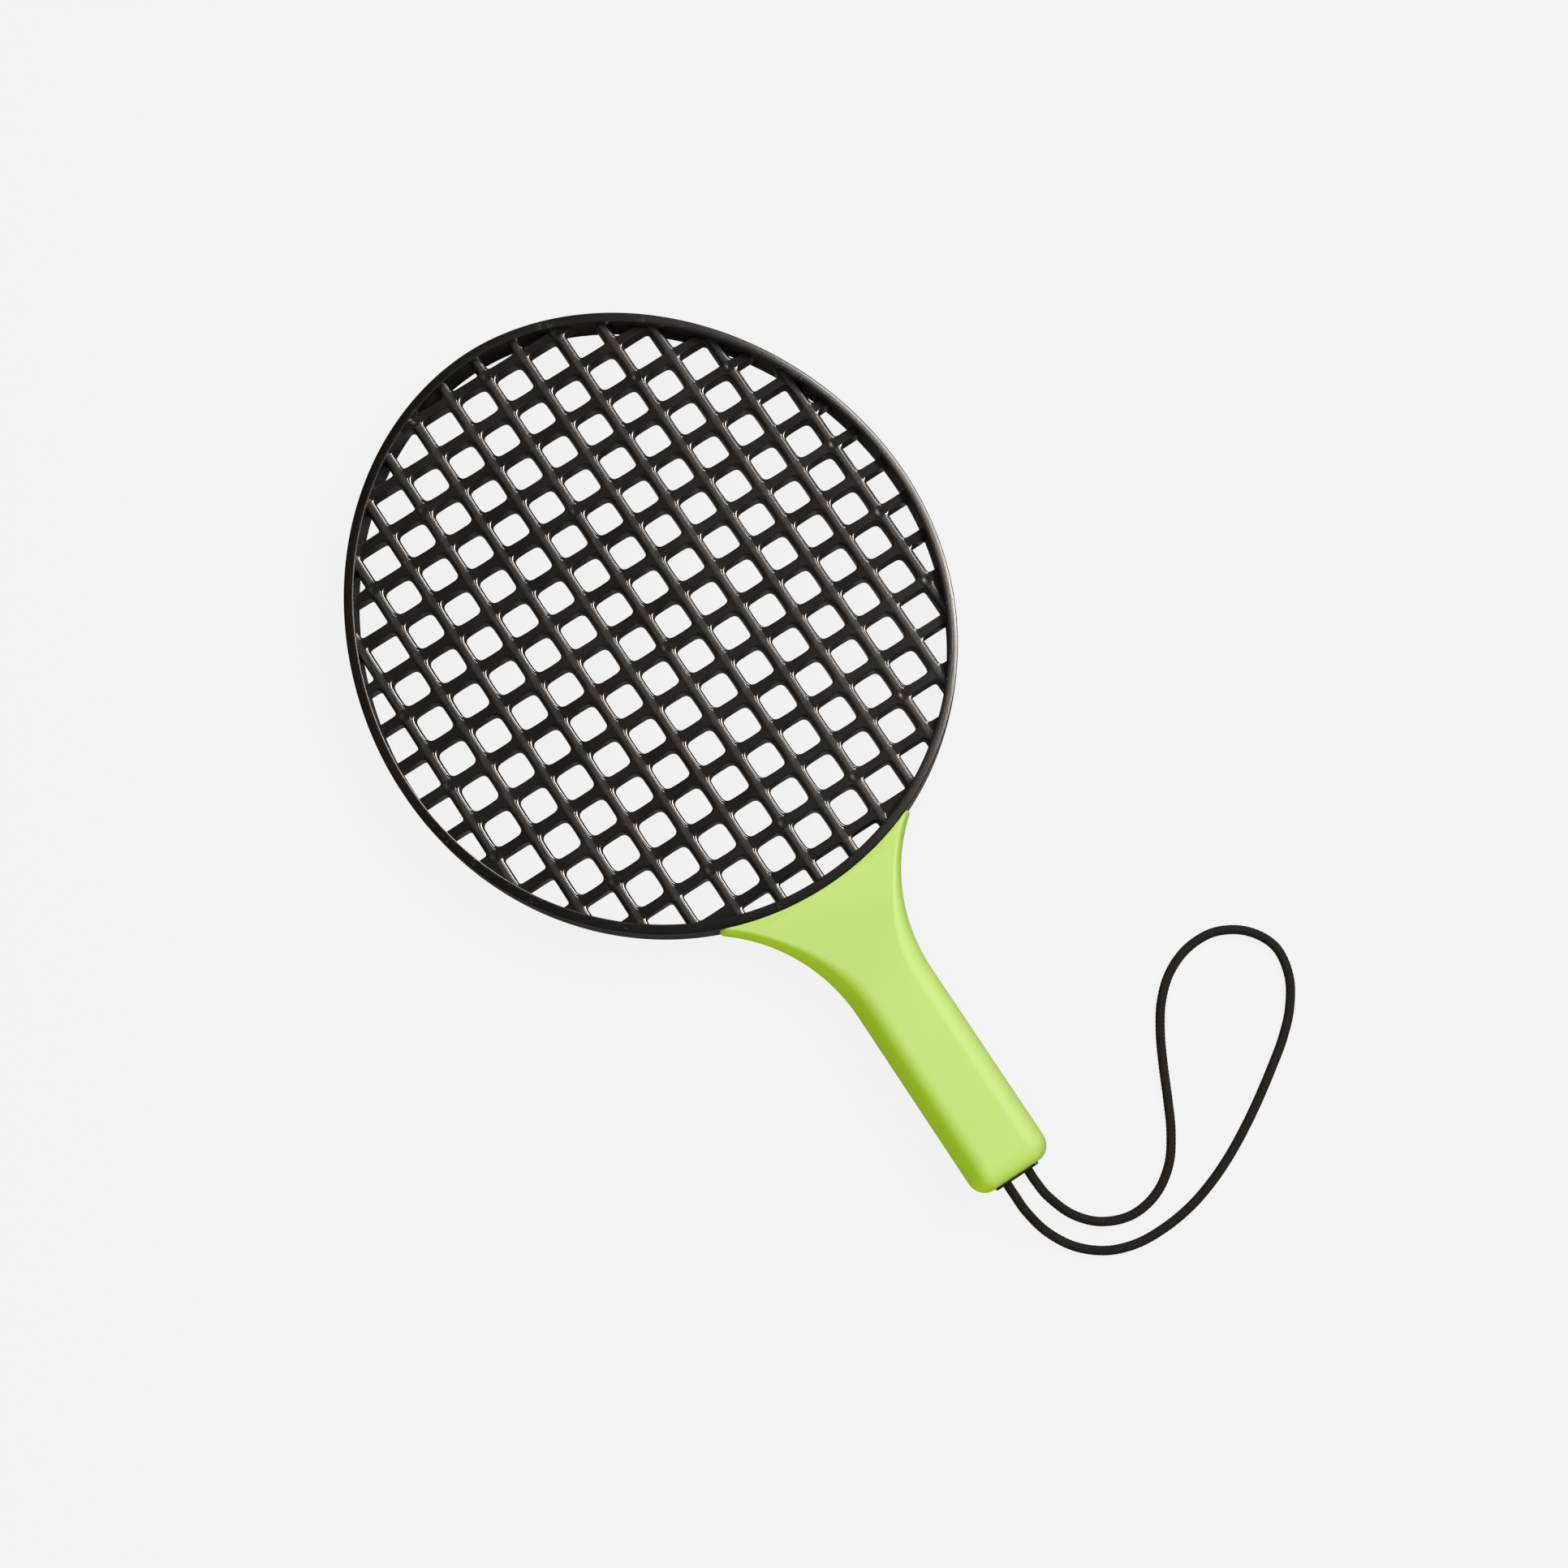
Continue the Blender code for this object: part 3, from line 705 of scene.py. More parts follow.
# Along a rib from the middle of an opening: how far, how much wider the band is, and how much of its crisp
# profile is left. The rest is a softer swelling, which is all that crosses the ribs between the openings.
BAND_ENDS = (
    (0.0039, 0.0, 1.0), (0.0045, 0.12, 0.95), (0.0049, 0.27, 0.70), (0.0053, 0.32, 0.30), (0.0061, 0.30, 0.0),
)
SOFT_BAND = 0.00015
HAIR = 0.000001
RUBBED_SHARE = 0.5
STREAK_FINENESS = 2800.0
MILLIMETRES = 1000.0


def rounded_square(co, before, after):
    """Moves a point from one rounded square to another. Each is its two half widths and its exponent."""
    across = math.copysign((abs(co.x) / before[0]) ** (before[2] / 2), co.x)
    along = math.copysign((abs(co.y) / before[1]) ** (before[2] / 2), co.y)
    size = math.hypot(across, along)
    co.x = math.copysign(after[0] * abs(across / size) ** (2 / after[2]), across)
    co.y = math.copysign(after[1] * abs(along / size) ** (2 / after[2]), along)


def raise_bands(cell):
    """Lifts the face of a square beside its two ribs into the halves of their bands."""
    wider_by = [(place, width) for place, width, _ in BAND_ENDS]
    crisp_share = [(place, crisp) for place, _, crisp in BAND_ENDS]
    edge = BAND_PROFILE[-1][0]
    for vertex in cell.data.vertices:
        from_rib = CELL_PITCH / 2 - abs(vertex.co.x)
        if vertex.co.z > GRID_DEPTH / 2 - HAIR and from_rib < edge + HAIR:
            crisp = interpolated(crisp_share, abs(vertex.co.y))
            if vertex.co.x > 0:
                crown = crisp * BAND_PROFILE[0][1] + (1 - crisp) * SOFT_BAND
                vertex.co.z += crown * (1 - (from_rib / edge) ** 3) ** 2
            else:
                vertex.co.z += crisp * interpolated(BAND_PROFILE, from_rib)
                vertex.co.z += (1 - crisp) * SOFT_BAND * (1 - (from_rib / edge) ** 2) ** 2
            wider = from_rib * interpolated(wider_by, abs(vertex.co.y))
            vertex.co.x -= math.copysign(wider, vertex.co.x)


def lattice_cell(name, exponents, is_open):
    """One square of the grid round an opening, from rib centre to rib centre."""
    exponent = exponents[0]
    deselect()
    bpy.ops.mesh.primitive_circle_add(vertices=CELL_STEPS, radius=FACE_HALF, fill_type="NOTHING")
    cell = bpy.context.object
    cell.name = name
    on_border = {}
    for index, vertex in enumerate(cell.data.vertices):
        angle = 2 * math.pi * index / CELL_STEPS
        vertex.co.x = FACE_HALF * math.copysign(abs(math.cos(angle)) ** (2 / exponent), math.cos(angle))
        vertex.co.y = FACE_HALF * math.copysign(abs(math.sin(angle)) ** (2 / exponent), math.sin(angle))
        vertex.co.z = GRID_DEPTH / 2
        quarter, step = divmod(index + CELL_STEPS // 8, CELL_STEPS // 4)
        beside = BORDER_PLACES[abs(step - CELL_STEPS // 8)] * (1 if step > CELL_STEPS // 8 else -1)
        corner = Matrix.Rotation(quarter * math.pi / 2, 2) @ Vector((1, beside)) * (CELL_PITCH / 2)
        on_border[tuple(round(place, 6) for place in vertex.co.xy)] = corner
    start_edit(cell)
    bpy.ops.mesh.select_mode(type="VERT")
    select_all()
    lift(0)
    shape = bmesh.from_edit_mesh(cell.data)
    for vertex in shape.verts:
        if vertex.select:
            vertex.co.xy = on_border[tuple(round(place, 6) for place in vertex.co.xy)]
    bmesh.update_edit_mesh(cell.data)
    select_by(cell, "VERT", lambda co: max(abs(co.x), abs(co.y)) < CELL_PITCH / 2 - 1e-4)
    if is_open:
        before, height = (FACE_HALF, FACE_HALF, exponent), 0.0
        for (across, along, down), exponent in zip(CELL_WALL, exponents[1:]):
            lift(height - down)
            after = (FACE_HALF - across, FACE_HALF - along, exponent)
            shape = bmesh.from_edit_mesh(cell.data)
            for vertex in shape.verts:
                if vertex.select:
                    rounded_square(vertex.co, before, after)
            bmesh.update_edit_mesh(cell.data)
            before, height = after, down
    else:
        bpy.ops.mesh.edge_face_add()
    for place, _ in BAND_PROFILE[1:]:
        for line in (place - CELL_PITCH / 2, CELL_PITCH / 2 - place):
            select_all()
            bpy.ops.mesh.bisect(plane_co=(line, 0, 0), plane_no=(1, 0, 0))
    for place, _, _ in BAND_ENDS:
        for line in (-place, place):
            select_by(cell, "FACE", lambda co: abs(co.x) > CELL_PITCH / 2 - BAND_PROFILE[-1][0])
            bpy.ops.mesh.bisect(plane_co=(0, line, 0), plane_no=(0, 1, 0))
    stop_edit()
    raise_bands(cell)
    apply_modifier(cell, "MIRROR", use_axis=(False, False, True), merge_threshold=CLOSE)
    return cell


def touches_head(x, y, reach, inset):
    """Whether a square centred here, with this half width, reaches inside the inset outline of the head."""
    near_x = max(abs(x) - reach, 0.0)
    near_y = WIDEST_Y + math.copysign(max(abs(y - WIDEST_Y) - reach, 0.0), y - WIDEST_Y)
    return head_share(near_x, near_y, inset) <= 1


def cell_is_whole(x, y):
    """Whether the rim stays clear of all the opening's corners."""
    reach = CELL_OPENING / 2 + SQUARE_CELL_MARGIN
    corners = ((x + across, y + along) for across in (-reach, reach) for along in (-reach, reach))
    return max(head_share(*corner, RIM_WALL) for corner in corners) < 1


def cut(piece, cutter, operation="DIFFERENCE"):
    """Cuts the piece with another one, which is then gone."""
    apply_modifier(piece, "BOOLEAN", operation=operation, solver="EXACT", object=cutter)
    bpy.data.objects.remove(cutter)


def head_plate(name, inset, depth):
    """All that lies inside the head's outline, to cut other pieces with."""
    plate = head_circle(name, MID_Z - depth / 2, inset, "NGON")
    start_edit(plate)
    select_all()
    lift(depth)
    face_outwards()
    stop_edit()
    return plate


def joined(name, copies):
    """One piece from many copies."""
    choose(*copies)
    bpy.ops.object.join()
    return new_piece(name)


round_cell = lattice_cell("round cell", ROUND_CELL, True)
square_cell = lattice_cell("square cell", SQUARE_CELL, True)
closed_cell = lattice_cell("closed cell", ROUND_CELL, False)
cells = []
for row in GRID_ROWS:
    for column in GRID_COLUMNS:
        x = (column + 0.5) * CELL_PITCH
        y = (row + 0.5) * CELL_PITCH + GRID_Y
        if not touches_head(x, y, CELL_PITCH / 2, 0.0):
            continue
        if cell_is_whole(x, y):
            pattern = round_cell
        elif touches_head(x, y, CELL_OPENING / 2, RIM_WALL + SMALLEST_CELL):
            pattern = square_cell
        else:
            pattern = closed_cell
        cell = put_in_scene("cell", pattern.data.copy())
        cell.location = (x, y, MID_Z)
        cells.append(cell)
grid = joined("striking_grid", cells)
for pattern in (round_cell, square_cell, closed_cell):
    bpy.data.objects.remove(pattern)
start_edit(grid)
select_all()
bpy.ops.mesh.remove_doubles(threshold=CLOSE)
# The open border of the upper face is drawn down to the border of the lower one
shape = bmesh.from_edit_mesh(grid.data)
for edge in shape.edges:
    edge.select_set(edge.is_boundary and edge.verts[0].co.z > MID_Z)
bmesh.update_edit_mesh(grid.data)
bpy.ops.mesh.select_mode(type="EDGE")
lift(0)
bpy.ops.transform.resize(value=(1, 1, -1), center_override=(0, 0, MID_Z))
select_all()
bpy.ops.mesh.remove_doubles(threshold=CLOSE)
face_outwards()
stop_edit()
cut(grid, head_plate("inside of the rim", RIM_WALL / 2, RIM_DEPTH), "INTERSECT")
smooth_by_angle(grid, 28, crisp_chamfers=True)


def rubbed_bands(tree, place):
    """Where the bands are rubbed, by their height above the face in millimetres, and how pale they are."""
    parts = add_node(tree, "ShaderNodeSeparateXYZ", {"Vector": place}).outputs
    from_middle = maths(tree, "ABSOLUTE", maths(tree, "SUBTRACT", parts["Z"], MID_Z))
    above = maths(tree, "MULTIPLY", maths(tree, "SUBTRACT", from_middle, GRID_DEPTH / 2), MILLIMETRES)
    mask = ramp(tree, above, ((0.12, 0.0), (0.165, 1.0)))
    on_band = ramp(tree, above, ((0.03, 0.0), (0.08, 1.0)))
    drawn = stretched(tree, place, (1.0, 0.09, 0.2))
    streaks = ramp(tree, noise(tree, drawn, STREAK_FINENESS, 2.0), ((0.42, 0.45), (0.68, 1.0)))
    return mask, maths(tree, "MULTIPLY", maths(tree, "MULTIPLY", streaks, on_band), RUBBED_SHARE)


grid_finish = black_plastic(
    "black grid plastic", BLACK, roughness=0.26, gloss=0.9, scratches=0.15, grain_depth=0.000006,
    rubbed=rubbed_bands,
)
give(grid, grid_finish)
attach(grid, "root")


# Ejector marks
# Round pads at crossings of the ribs, where the mould's pins pushed the head out. Each is a disc with a
# shallow dish in the middle, and is part of the same moulding.

# Ribs across and along the racket, counted from the crossing in the middle
MARK_CROSSINGS = (
    (2, 7), (0, 7), (-2, 7), (-3, 5), (3, 5), (-5, 4), (5, 4), (0, 3), (-6, 1), (6, 1),
    (0, -1), (-6, -1), (6, -1), (-6, -3), (6, -3), (-4, -5), (4, -5), (-2, -6), (0, -6), (2, -6),
)
MARK_RADIUS = 0.0020
MARK_RISE = 0.00035
MARK_ROOT = 0.00030
MARK_STEPS = 24
MARK_BLACK = (0.0044, 0.0036, 0.0029)
# From the edge of a mark inwards: how wide each ring is, and how much it rises
MARK_RINGS = (
    (0.00006, 0.00006), (0.00014, 0.0), (0.00070, -0.00002), (0.00042, -0.00013), (0.00028, -0.00003),
)

deselect()
place = (0, 0, MID_Z + GRID_DEPTH / 2 - MARK_ROOT)
bpy.ops.mesh.primitive_circle_add(vertices=MARK_STEPS, radius=MARK_RADIUS, fill_type="NGON", location=place)
mark = new_piece("ejector mark")
start_edit(mark)
select_all()
lift(MARK_ROOT + MARK_RISE - MARK_RINGS[0][1])
for width, rise in MARK_RINGS:
    bpy.ops.mesh.inset(thickness=width)
    bpy.ops.transform.translate(value=(0, 0, rise))
face_outwards()
stop_edit()
copies = []
for column, row in MARK_CROSSINGS:
    copy = put_in_scene("ejector mark", mark.data.copy())
    copy.location = (column * CELL_PITCH, GRID_Y + row * CELL_PITCH, 0)
    copies.append(copy)
bpy.data.objects.remove(mark)
marks = joined("ejector_marks", copies)
smooth_by_angle(marks, 28)
mark_finish = black_plastic(
    "black mark plastic", MARK_BLACK, roughness=0.28, gloss=0.8, scratches=0.1, grain_depth=0.00001
)
give(marks, mark_finish)
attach(marks, "root")


# Handle core
# The stem of the black moulding, which the rubber is moulded over. It widens under the flare and runs into
# the rim. Its end is open for the plug's spigot and the knot.

GRIP_WIDTH = 0.0284
GRIP_THICKNESS = 0.0200
GRIP_SHOULDER = 0.0076
FLARE_LENGTH = 0.0402
FLARE_WIDTH = 0.0728
FLARE_THICKNESS = 0.0120
FLARE_SHOULDER = 0.0030
FLARE_TIP = 0.0014
THROAT_Y = WIDEST_Y - THROAT_REACH
NECK_Y = THROAT_Y - FLARE_LENGTH
GRIP_END_Y = PLUG_FACE_Y + 0.0008
CORE_END_Y = -0.1567
SPIGOT_END_Y = -0.1487
KNOT_ROOM_END_Y = -0.1391
SLEEVE_WALL = 0.0025
PLUG_WIDTH = 0.0156
PLUG_HEIGHT = 0.0080
SPIGOT_STEP = 0.0008
KNOT_WIDTH = 0.0110
KNOT_HEIGHT = 0.0063
GAP = 0.0003
CORE_SPACING = 0.02
SHOULDER_STEPS = 9
FLARE_STEPS = 22


def throat_edge(x):
    """How far down the head's outline reaches beside the handle."""
    across = abs(x) / (HEAD_WIDTH / 2)
    return WIDEST_Y - THROAT_REACH * (1 - across**THROAT_EXPONENT) ** (1 / THROAT_EXPONENT)


def handle_section(half_width, half_height, shoulder):
    """Across the handle: flat top and bottom, with a quarter of an ellipse on each shoulder."""
    shoulder = min(shoulder, half_width)
    quarter = []
    for step in range(SHOULDER_STEPS + 1):
        angle = math.pi / 2 * step / SHOULDER_STEPS
        quarter.append((half_width - shoulder + shoulder * math.cos(angle), half_height * math.sin(angle)))
    right = [(x, -z) for x, z in reversed(quarter)] + quarter[1:]
    left = [(-x, z) for x, z in reversed(right)]
    return right + left


def flare_stations(inset):
    """Sections of the flare from the head down: place along the handle, half width, half height, shoulder."""
    tip_x = FLARE_WIDTH / 2
    tip_y = throat_edge(tip_x) - FLARE_TIP
    run = tip_y - NECK_Y
    spread = tip_x - GRIP_WIDTH / 2
    radius = (spread * spread + run * run) / (2 * spread)
    steepest = math.asin(run / radius)
    places = [(throat_edge(tip_x) + FLARE_TIP, tip_x, steepest)]
    for step in range(FLARE_STEPS + 1):
        angle = steepest * (1 - step / FLARE_STEPS)
        x = GRIP_WIDTH / 2 + radius * (1 - math.cos(angle))
        places.append((NECK_Y + radius * math.sin(angle), x, angle))
    stations = []
    for y, x, angle in places:
        share = ease((THROAT_Y - y) / FLARE_LENGTH)
        half_height = (FLARE_THICKNESS + (GRIP_THICKNESS - FLARE_THICKNESS) * share) / 2
        shoulder = FLARE_SHOULDER + (GRIP_SHOULDER - FLARE_SHOULDER) * share
        stations.append((y, x - inset / math.cos(angle), half_height - inset, max(shoulder - inset, GAP)))
    return stations


def straight_stations(inset, end_y, spacing):
    """Sections of the straight part of the grip, down to end_y."""
    steps = max(round((NECK_Y - end_y) / spacing), 1)
    size = (GRIP_WIDTH / 2 - inset, GRIP_THICKNESS / 2 - inset, GRIP_SHOULDER - inset)
    return [(NECK_Y + (end_y - NECK_Y) * step / steps, *size) for step in range(1, steps + 1)]


def extruded_along(name, stations):
    """A closed skin: a circle shaped to the first section, extruded from station to station."""
    deselect()
    count = len(handle_section(*stations[0][1:]))
    bpy.ops.mesh.primitive_circle_add(vertices=count, radius=GRIP_WIDTH / 2, fill_type="NGON")
    piece = new_piece(name)
    for index, station in enumerate(stations):
        start_edit(piece)
        if index:
            lift(0)
        shape = bmesh.from_edit_mesh(piece.data)
        face = next(face for face in shape.faces if face.select)
        for vertex, (x, z) in zip(face.verts, handle_section(*station[1:])):
            vertex.co = (x, station[0], MID_Z + z)
        bmesh.update_edit_mesh(piece.data)
        stop_edit()
    start_edit(piece)
    face_outwards()
    stop_edit()
    return piece


def block(name, width, height, from_y, to_y):
    """A block along the handle, at the middle height."""
    deselect()
    middle = (0, (from_y + to_y) / 2, MID_Z)
    bpy.ops.mesh.primitive_cube_add(size=1, location=middle, scale=(width, to_y - from_y, height))
    return new_piece(name)


inset = SLEEVE_WALL + GAP
core_stations = flare_stations(inset) + straight_stations(inset, CORE_END_Y, CORE_SPACING)
core = extruded_along("handle_core", core_stations)
cut(core, head_plate("rim over the core", RIM_WALL / 2, RIM_DEPTH))
socket_less = 2 * (SPIGOT_STEP - GAP)
cut(core, block("plug socket", PLUG_WIDTH - socket_less, PLUG_HEIGHT - socket_less, GRIP_END_Y, SPIGOT_END_Y))
cut(core, block("knot room", KNOT_WIDTH + 2 * GAP, KNOT_HEIGHT + 2 * GAP, CORE_END_Y, KNOT_ROOM_END_Y))
smooth_by_angle(core, 32)
give(core, rim_finish)
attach(core, "root")
for moulded in (rim, grid, marks, core):
    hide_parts("racket_frame")


# Grip
# Lime green soft rubber, moulded round the core in one piece: a flare that lies against the rim, a straight
# grip with broad round shoulders, and an end that rolls in to the plug. Its faces are plain.

END_CORNER = 0.0060
END_ROLL = 0.0090
END_LIP = 0.0009
END_WALL = 0.0060
END_STEPS = 14
GRIP_SPACING = 0.004
PLUG_CORNER = 0.0015
PLUG_CORNER_STEPS = 6
SHOULDER_Y = GRIP_END_Y + END_WALL
SEAM = 0.00012
MOUTH_DEPTH = 0.0070
# Painted light and shade on the rubber: the shaded colour of its sides, the lit colour of its top, and a
# paler patch tone of the lit colour
LIME_SHADED_SIDE = (0.172, 0.268, 0.004, 1)
LIME_LIT_TOP = (0.213, 0.300, 0.062, 1)
LIME_LIT_TOP_PALER = (0.221, 0.307, 0.070, 1)
LIME_DUST = (0.30, 0.34, 0.19, 1)
RUBBER_GRAIN_FINENESS = 2600.0
RUBBER_PATCH_FINENESS = 60.0
RUBBER_SCRATCH_FINENESS = 700.0
RUBBER_ROUGHNESS = 0.60
# Which way the painted light on the rubber faces: up, and a little to the right
PAINTED_LIGHT_FACING = Vector((0.45, 0, 0.90))

end_stations = []
for step in range(END_STEPS + 1):
    angle = math.pi / 2 * step / END_STEPS
    y = GRIP_END_Y + END_ROLL * (1 - math.sin(angle))
    corner = min((y - GRIP_END_Y) / END_CORNER, 1.0)
    end_x = PLUG_WIDTH / 2 + END_LIP
    end_z = PLUG_HEIGHT / 2 + END_LIP
    x = end_x + (GRIP_WIDTH / 2 - end_x) * math.sqrt(1 - (1 - corner) ** 2)
    half_height = end_z + (GRIP_THICKNESS / 2 - end_z) * math.cos(angle)
    shoulder = PLUG_CORNER + (GRIP_SHOULDER - PLUG_CORNER) * math.cos(angle)
    end_stations.append((y, x, half_height, shoulder))
straight = straight_stations(0.0, end_stations[0][0] + GRIP_SPACING, GRIP_SPACING)
grip = extruded_along("rubber_grip", flare_stations(0.0) + straight + end_stations)
hollow = flare_stations(SLEEVE_WALL) + straight_stations(SLEEVE_WALL, SHOULDER_Y, CORE_SPACING)
cut(grip, extruded_along("inside of the sleeve", hollow))
cut(grip, head_plate("head beside the grip", -SEAM, 2 * RIM_DEPTH))


def round_corners(piece):
    """Rounds the four long corners of a block of the plug's size."""
    start_edit(piece)
    select_by(piece, "EDGE", lambda co: abs(co.x) > PLUG_WIDTH / 3 and abs(co.z - MID_Z) > PLUG_HEIGHT / 3)
    bpy.ops.mesh.bevel(offset=PLUG_CORNER, segments=PLUG_CORNER_STEPS, affect="EDGES")
    stop_edit()


mouth_size = (PLUG_WIDTH + 2 * SEAM, PLUG_HEIGHT + 2 * SEAM)
mouth = block("mouth for the plug", *mouth_size, GRIP_END_Y - END_WALL, GRIP_END_Y + MOUTH_DEPTH)
round_corners(mouth)
cut(grip, mouth)
smooth_by_angle(grip, 34)


def rubber_finish():
    """Soft matte rubber: deep lime as painted shade on the faces turned away from the lights, paler lime as
    painted light on those turned up and to the right, and a skin too fine to see as a texture.
    """
    material, tree, shader, place = new_finish("lime green rubber")
    fineness = {"Grain fineness": RUBBER_GRAIN_FINENESS, "Patch fineness": RUBBER_PATCH_FINENESS}
    grain = use_effect(tree, moulded_grain, {"Place": place, **fineness})
    scratch_inputs = {"Place": place, "Fineness": RUBBER_SCRATCH_FINENESS, "Amount": 0.05}
    scratch = use_effect(tree, fine_scratches, scratch_inputs)["Scratch"]
    pale = mixed(tree, ramp(tree, grain["Patch"], ((0.3, 0.0), (0.7, 1.0))), LIME_LIT_TOP, LIME_LIT_TOP_PALER)
    painted_light = add_node(tree, "ShaderNodeAttribute", attribute_name="painted_light").outputs["Fac"]
    # Painted light and shade: faces turned up and to the right get the lit colour, faces turned away get the
    # shaded one
    colour = mixed(tree, ramp(tree, painted_light, ((0.35, 0.0), (0.93, 1.0))), LIME_SHADED_SIDE, pale)
    dusty = maths(tree, "MULTIPLY_ADD", scratch, 0.10, maths(tree, "MULTIPLY", grain["Speckle"], 0.05))
    colour = mixed(tree, dusty, colour, LIME_DUST)
    rough = maths(tree, "MULTIPLY_ADD", grain["Patch"], 0.10, RUBBER_ROUGHNESS)
    set_inputs(tree, shader, {"Base Color": colour, "Roughness": rough})
    set_inputs(tree, shader, {"Sheen Weight": 0.08, "Sheen Roughness": 0.4})
    relieve(tree, shader, 0.3, 0.000015, grain["Grain"])
    return material


# How far each point of the rubber faces up and to the right, which sets how much painted light it gets
painted_light = grip.data.attributes.new("painted_light", "FLOAT", "POINT")
for vertex in grip.data.vertices:
    painted_light.data[vertex.index].value = vertex.normal.dot(PAINTED_LIGHT_FACING)
give(grip, rubber_finish())
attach(grip, "root")
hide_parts("grip_sleeve")


# End plug
# Hard black plastic, pushed into the end of the handle. Its head stands a little proud of the rubber and has
# one hole for each end of the cord; its spigot sits in the core.

PLUG_EDGE = 0.0004
CORD_HOLE = 0.0035
HOLE_EDGE = 0.00025
HOLE_STEPS = 32
HOLE_CUTTER = 0.03

plug = block("cord_plug", PLUG_WIDTH, PLUG_HEIGHT, PLUG_FACE_Y, SHOULDER_Y)
round_corners(plug)
start_edit(plug)
select_by(plug, "FACE", lambda co: co.y > SHOULDER_Y - CLOSE)
bpy.ops.mesh.inset(thickness=SPIGOT_STEP)
bpy.ops.mesh.extrude_region_move(TRANSFORM_OT_translate={"value": (0, SPIGOT_END_Y - SHOULDER_Y, 0)})
stop_edit()
for side in (-1, 1):
    deselect()
    middle = (side * CORD_SPACING / 2, (PLUG_FACE_Y + SPIGOT_END_Y) / 2, MID_Z)
    turn = (math.pi / 2, 0, 0)
    size = {"vertices": HOLE_STEPS, "radius": CORD_HOLE / 2, "depth": HOLE_CUTTER}
    bpy.ops.mesh.primitive_cylinder_add(**size, location=middle, rotation=turn)
    cut(plug, new_piece("cord hole"))


def on_hole(co):
    """Whether a point of the plug's face lies on the edge of a cord hole."""
    from_hole = math.hypot(abs(co.x) - CORD_SPACING / 2, co.z - MID_Z)
    return abs(from_hole - CORD_HOLE / 2) < 10 * CLOSE


def on_outline(co):
    """Whether a point of the plug's face lies on its outline."""
    beyond_x = abs(co.x) - PLUG_WIDTH / 2
    beyond_z = abs(co.z - MID_Z) - PLUG_HEIGHT / 2
    on_corner = min(beyond_x, beyond_z) > -PLUG_CORNER - CLOSE
    return on_corner or abs(beyond_x) < CLOSE or abs(beyond_z) < CLOSE


weights = plug.data.attributes.new("bevel_weight_edge", "FLOAT", "EDGE")
for edge in plug.data.edges:
    ends = [plug.data.vertices[index].co for index in edge.vertices]
    if all(abs(end.y - PLUG_FACE_Y) < CLOSE for end in ends):
        if all(on_hole(end) for end in ends):
            weights.data[edge.index].value = HOLE_EDGE / PLUG_EDGE
        elif all(on_outline(end) for end in ends):
            weights.data[edge.index].value = 1.0
apply_modifier(plug, "BEVEL", width=PLUG_EDGE, segments=3, limit_method="WEIGHT")
smooth_by_angle(plug, 32)
plug_finish = black_plastic(
    "black plug plastic", BLACK, roughness=0.42, gloss=0.1, scratches=0.3, grain_depth=0.00001
)
give(plug, plug_finish)
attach(plug, "root")
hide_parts("end_plug")


# Stage
# A plain pale floor under soft studio light: two soft boxes from the right for the gleams, and light from
# above and from the left for the shade.

FLOOR_SIZE = 12.0
# What the camera sees of the floor: an even glow over a dark grey. The racket sees a darker floor instead.
FLOOR_GLOW = 0.87
FLOOR_SEEN = (0.012, 0.012, 0.012, 1)
FLOOR_BOUNCE = (0.09, 0.09, 0.09, 1)
WHITE = (1, 1, 1, 1)
BACKDROP = 0.90
ROOM_LIGHT = 0.025
LIGHTS_AIM = Vector((0, 0, 0.01))

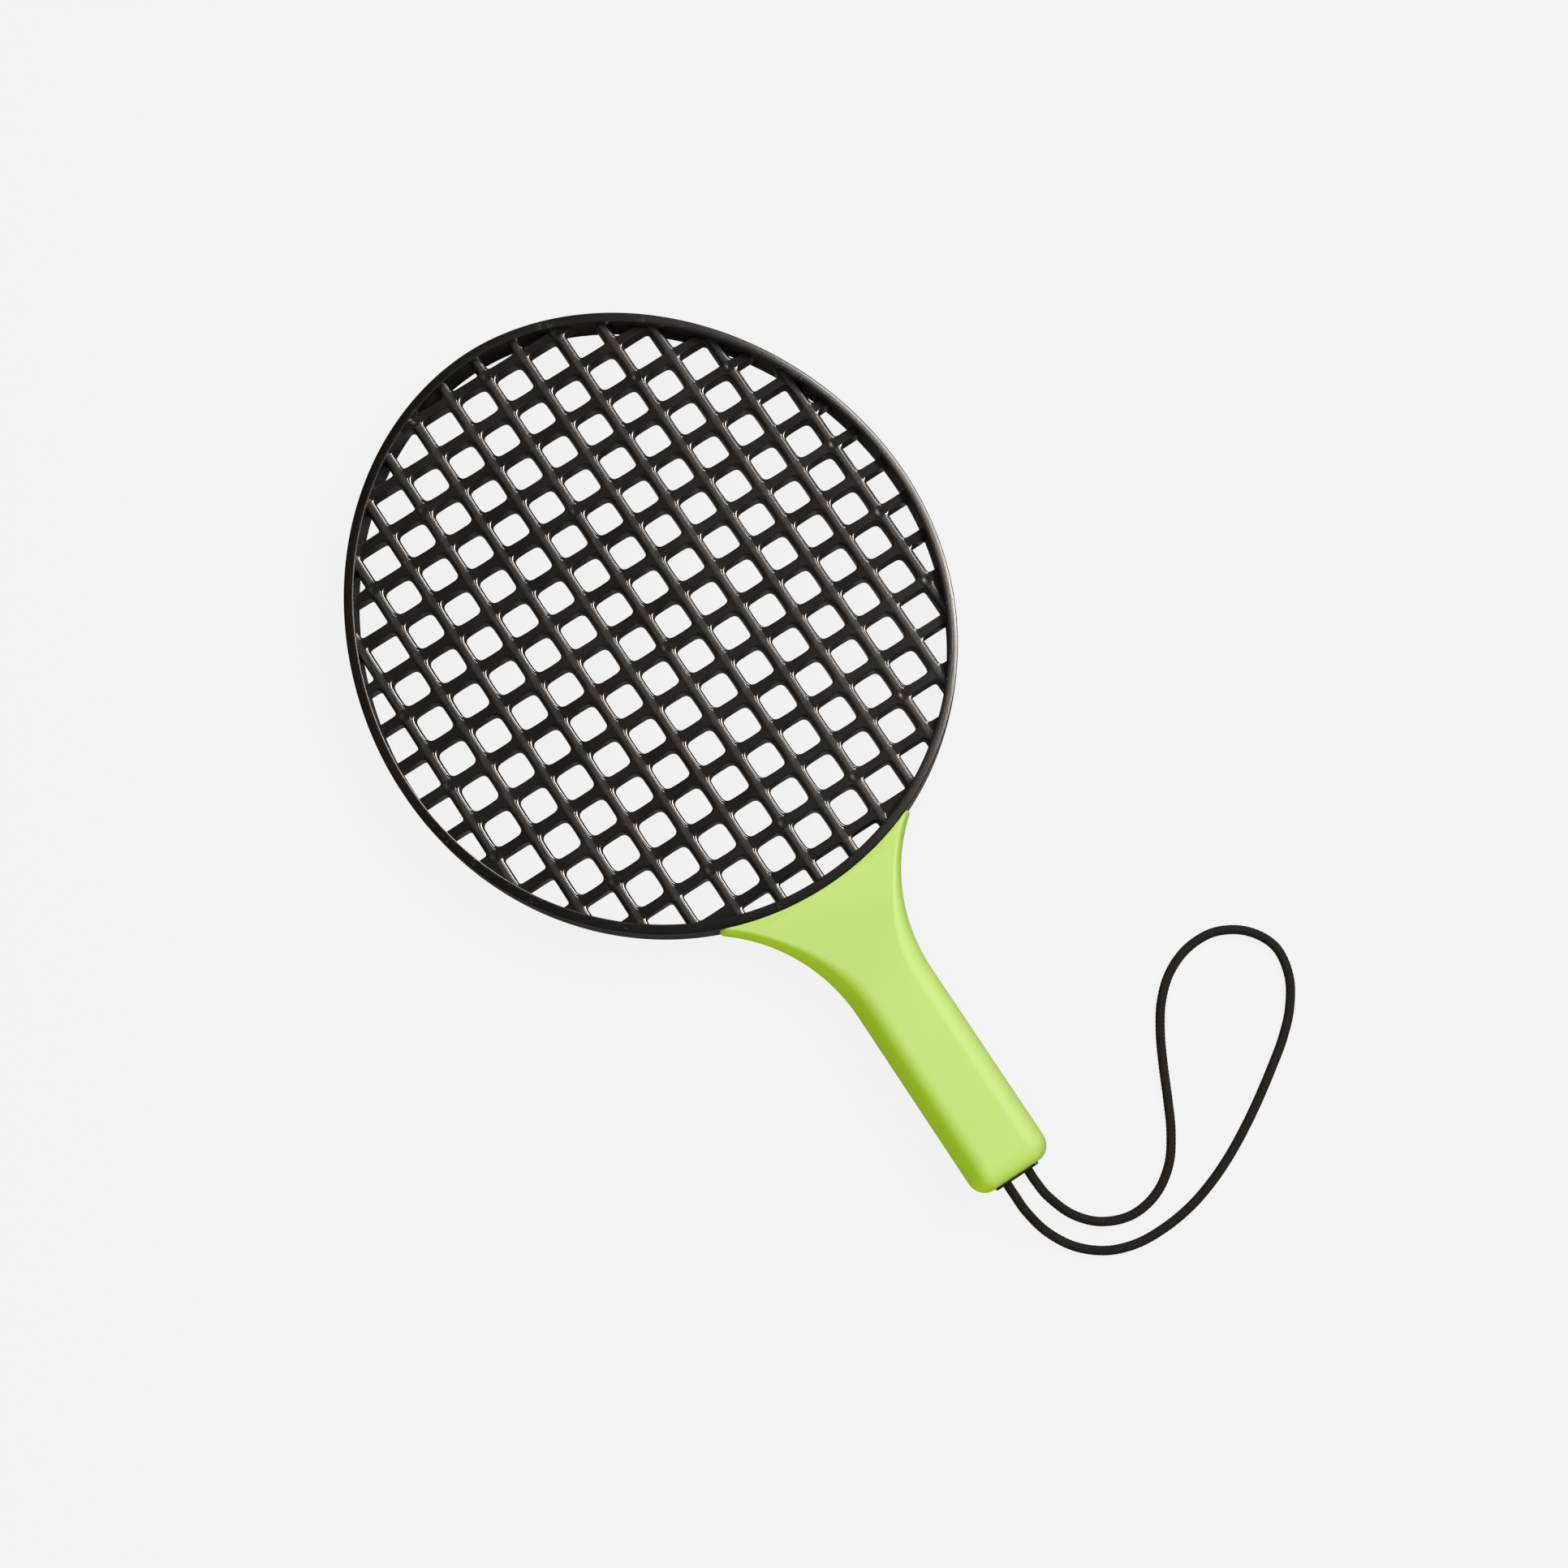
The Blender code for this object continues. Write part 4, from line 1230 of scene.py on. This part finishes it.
deselect()
bpy.ops.mesh.primitive_plane_add(size=FLOOR_SIZE, location=(0, 0, 0))
floor = new_piece("floor")
material, tree, shader = new_finish("pale floor")[:3]
seen = tree.nodes.new("ShaderNodeLightPath").outputs["Is Camera Ray"]
glow = maths(tree, "MULTIPLY", seen, FLOOR_GLOW)
colour = mixed(tree, seen, FLOOR_BOUNCE, FLOOR_SEEN)
set_inputs(tree, shader, {"Base Color": colour, "Roughness": 0.9, "Specular IOR Level": 0.0})
set_inputs(tree, shader, {"Emission Color": WHITE, "Emission Strength": glow})
give(floor, material)

world = bpy.data.worlds.new("studio")
bpy.context.scene.world = world
world.use_nodes = True
tree = world.node_tree
tree.nodes.clear()
seen = tree.nodes.new("ShaderNodeLightPath").outputs["Is Camera Ray"]
room = add_node(tree, "ShaderNodeBackground", {"Color": WHITE, "Strength": ROOM_LIGHT})
backdrop = add_node(tree, "ShaderNodeBackground", {"Color": WHITE, "Strength": BACKDROP})
both = add_node(tree, "ShaderNodeMixShader", {0: seen, 1: room.outputs[0], 2: backdrop.outputs[0]})
add_node(tree, "ShaderNodeOutputWorld", {"Surface": both.outputs[0]})


def soft_box(name, azimuth, elevation, distance, width, height, power):
    """A soft box that faces the middle of the racket. Azimuth 0 is +X, 90 is +Y."""
    data = bpy.data.lights.new(name, "AREA")
    data.shape = "RECTANGLE"
    data.size = width
    data.size_y = height
    data.energy = power
    light = put_in_scene(name, data)
    turn = math.radians(azimuth)
    rise = math.radians(elevation)
    away = Vector((math.cos(turn) * math.cos(rise), math.sin(turn) * math.cos(rise), math.sin(rise)))
    light.location = LIGHTS_AIM + away * distance
    light.rotation_euler = away.to_track_quat("Z", "Y").to_euler()
    return light


# Each with its azimuth, elevation, distance, width, height and power. The top light and the fill are
# polarised, so that they light the colours and the shade without a gleam.
soft_box("key light", -10, 50, 1.3, 0.50, 0.34, 15.0)
soft_box("strip light", 15, 43, 1.3, 0.95, 0.26, 22.0)
soft_box("overhead light", 90, 88, 1.8, 2.0, 2.0, 0.3)
soft_box("top light", 90, 88, 1.9, 2.0, 2.0, 32.0).visible_glossy = False
soft_box("fill light", 225, 12, 1.2, 1.2, 0.5, 23.0).visible_glossy = False
bpy.context.scene.view_settings.view_transform = "Standard"
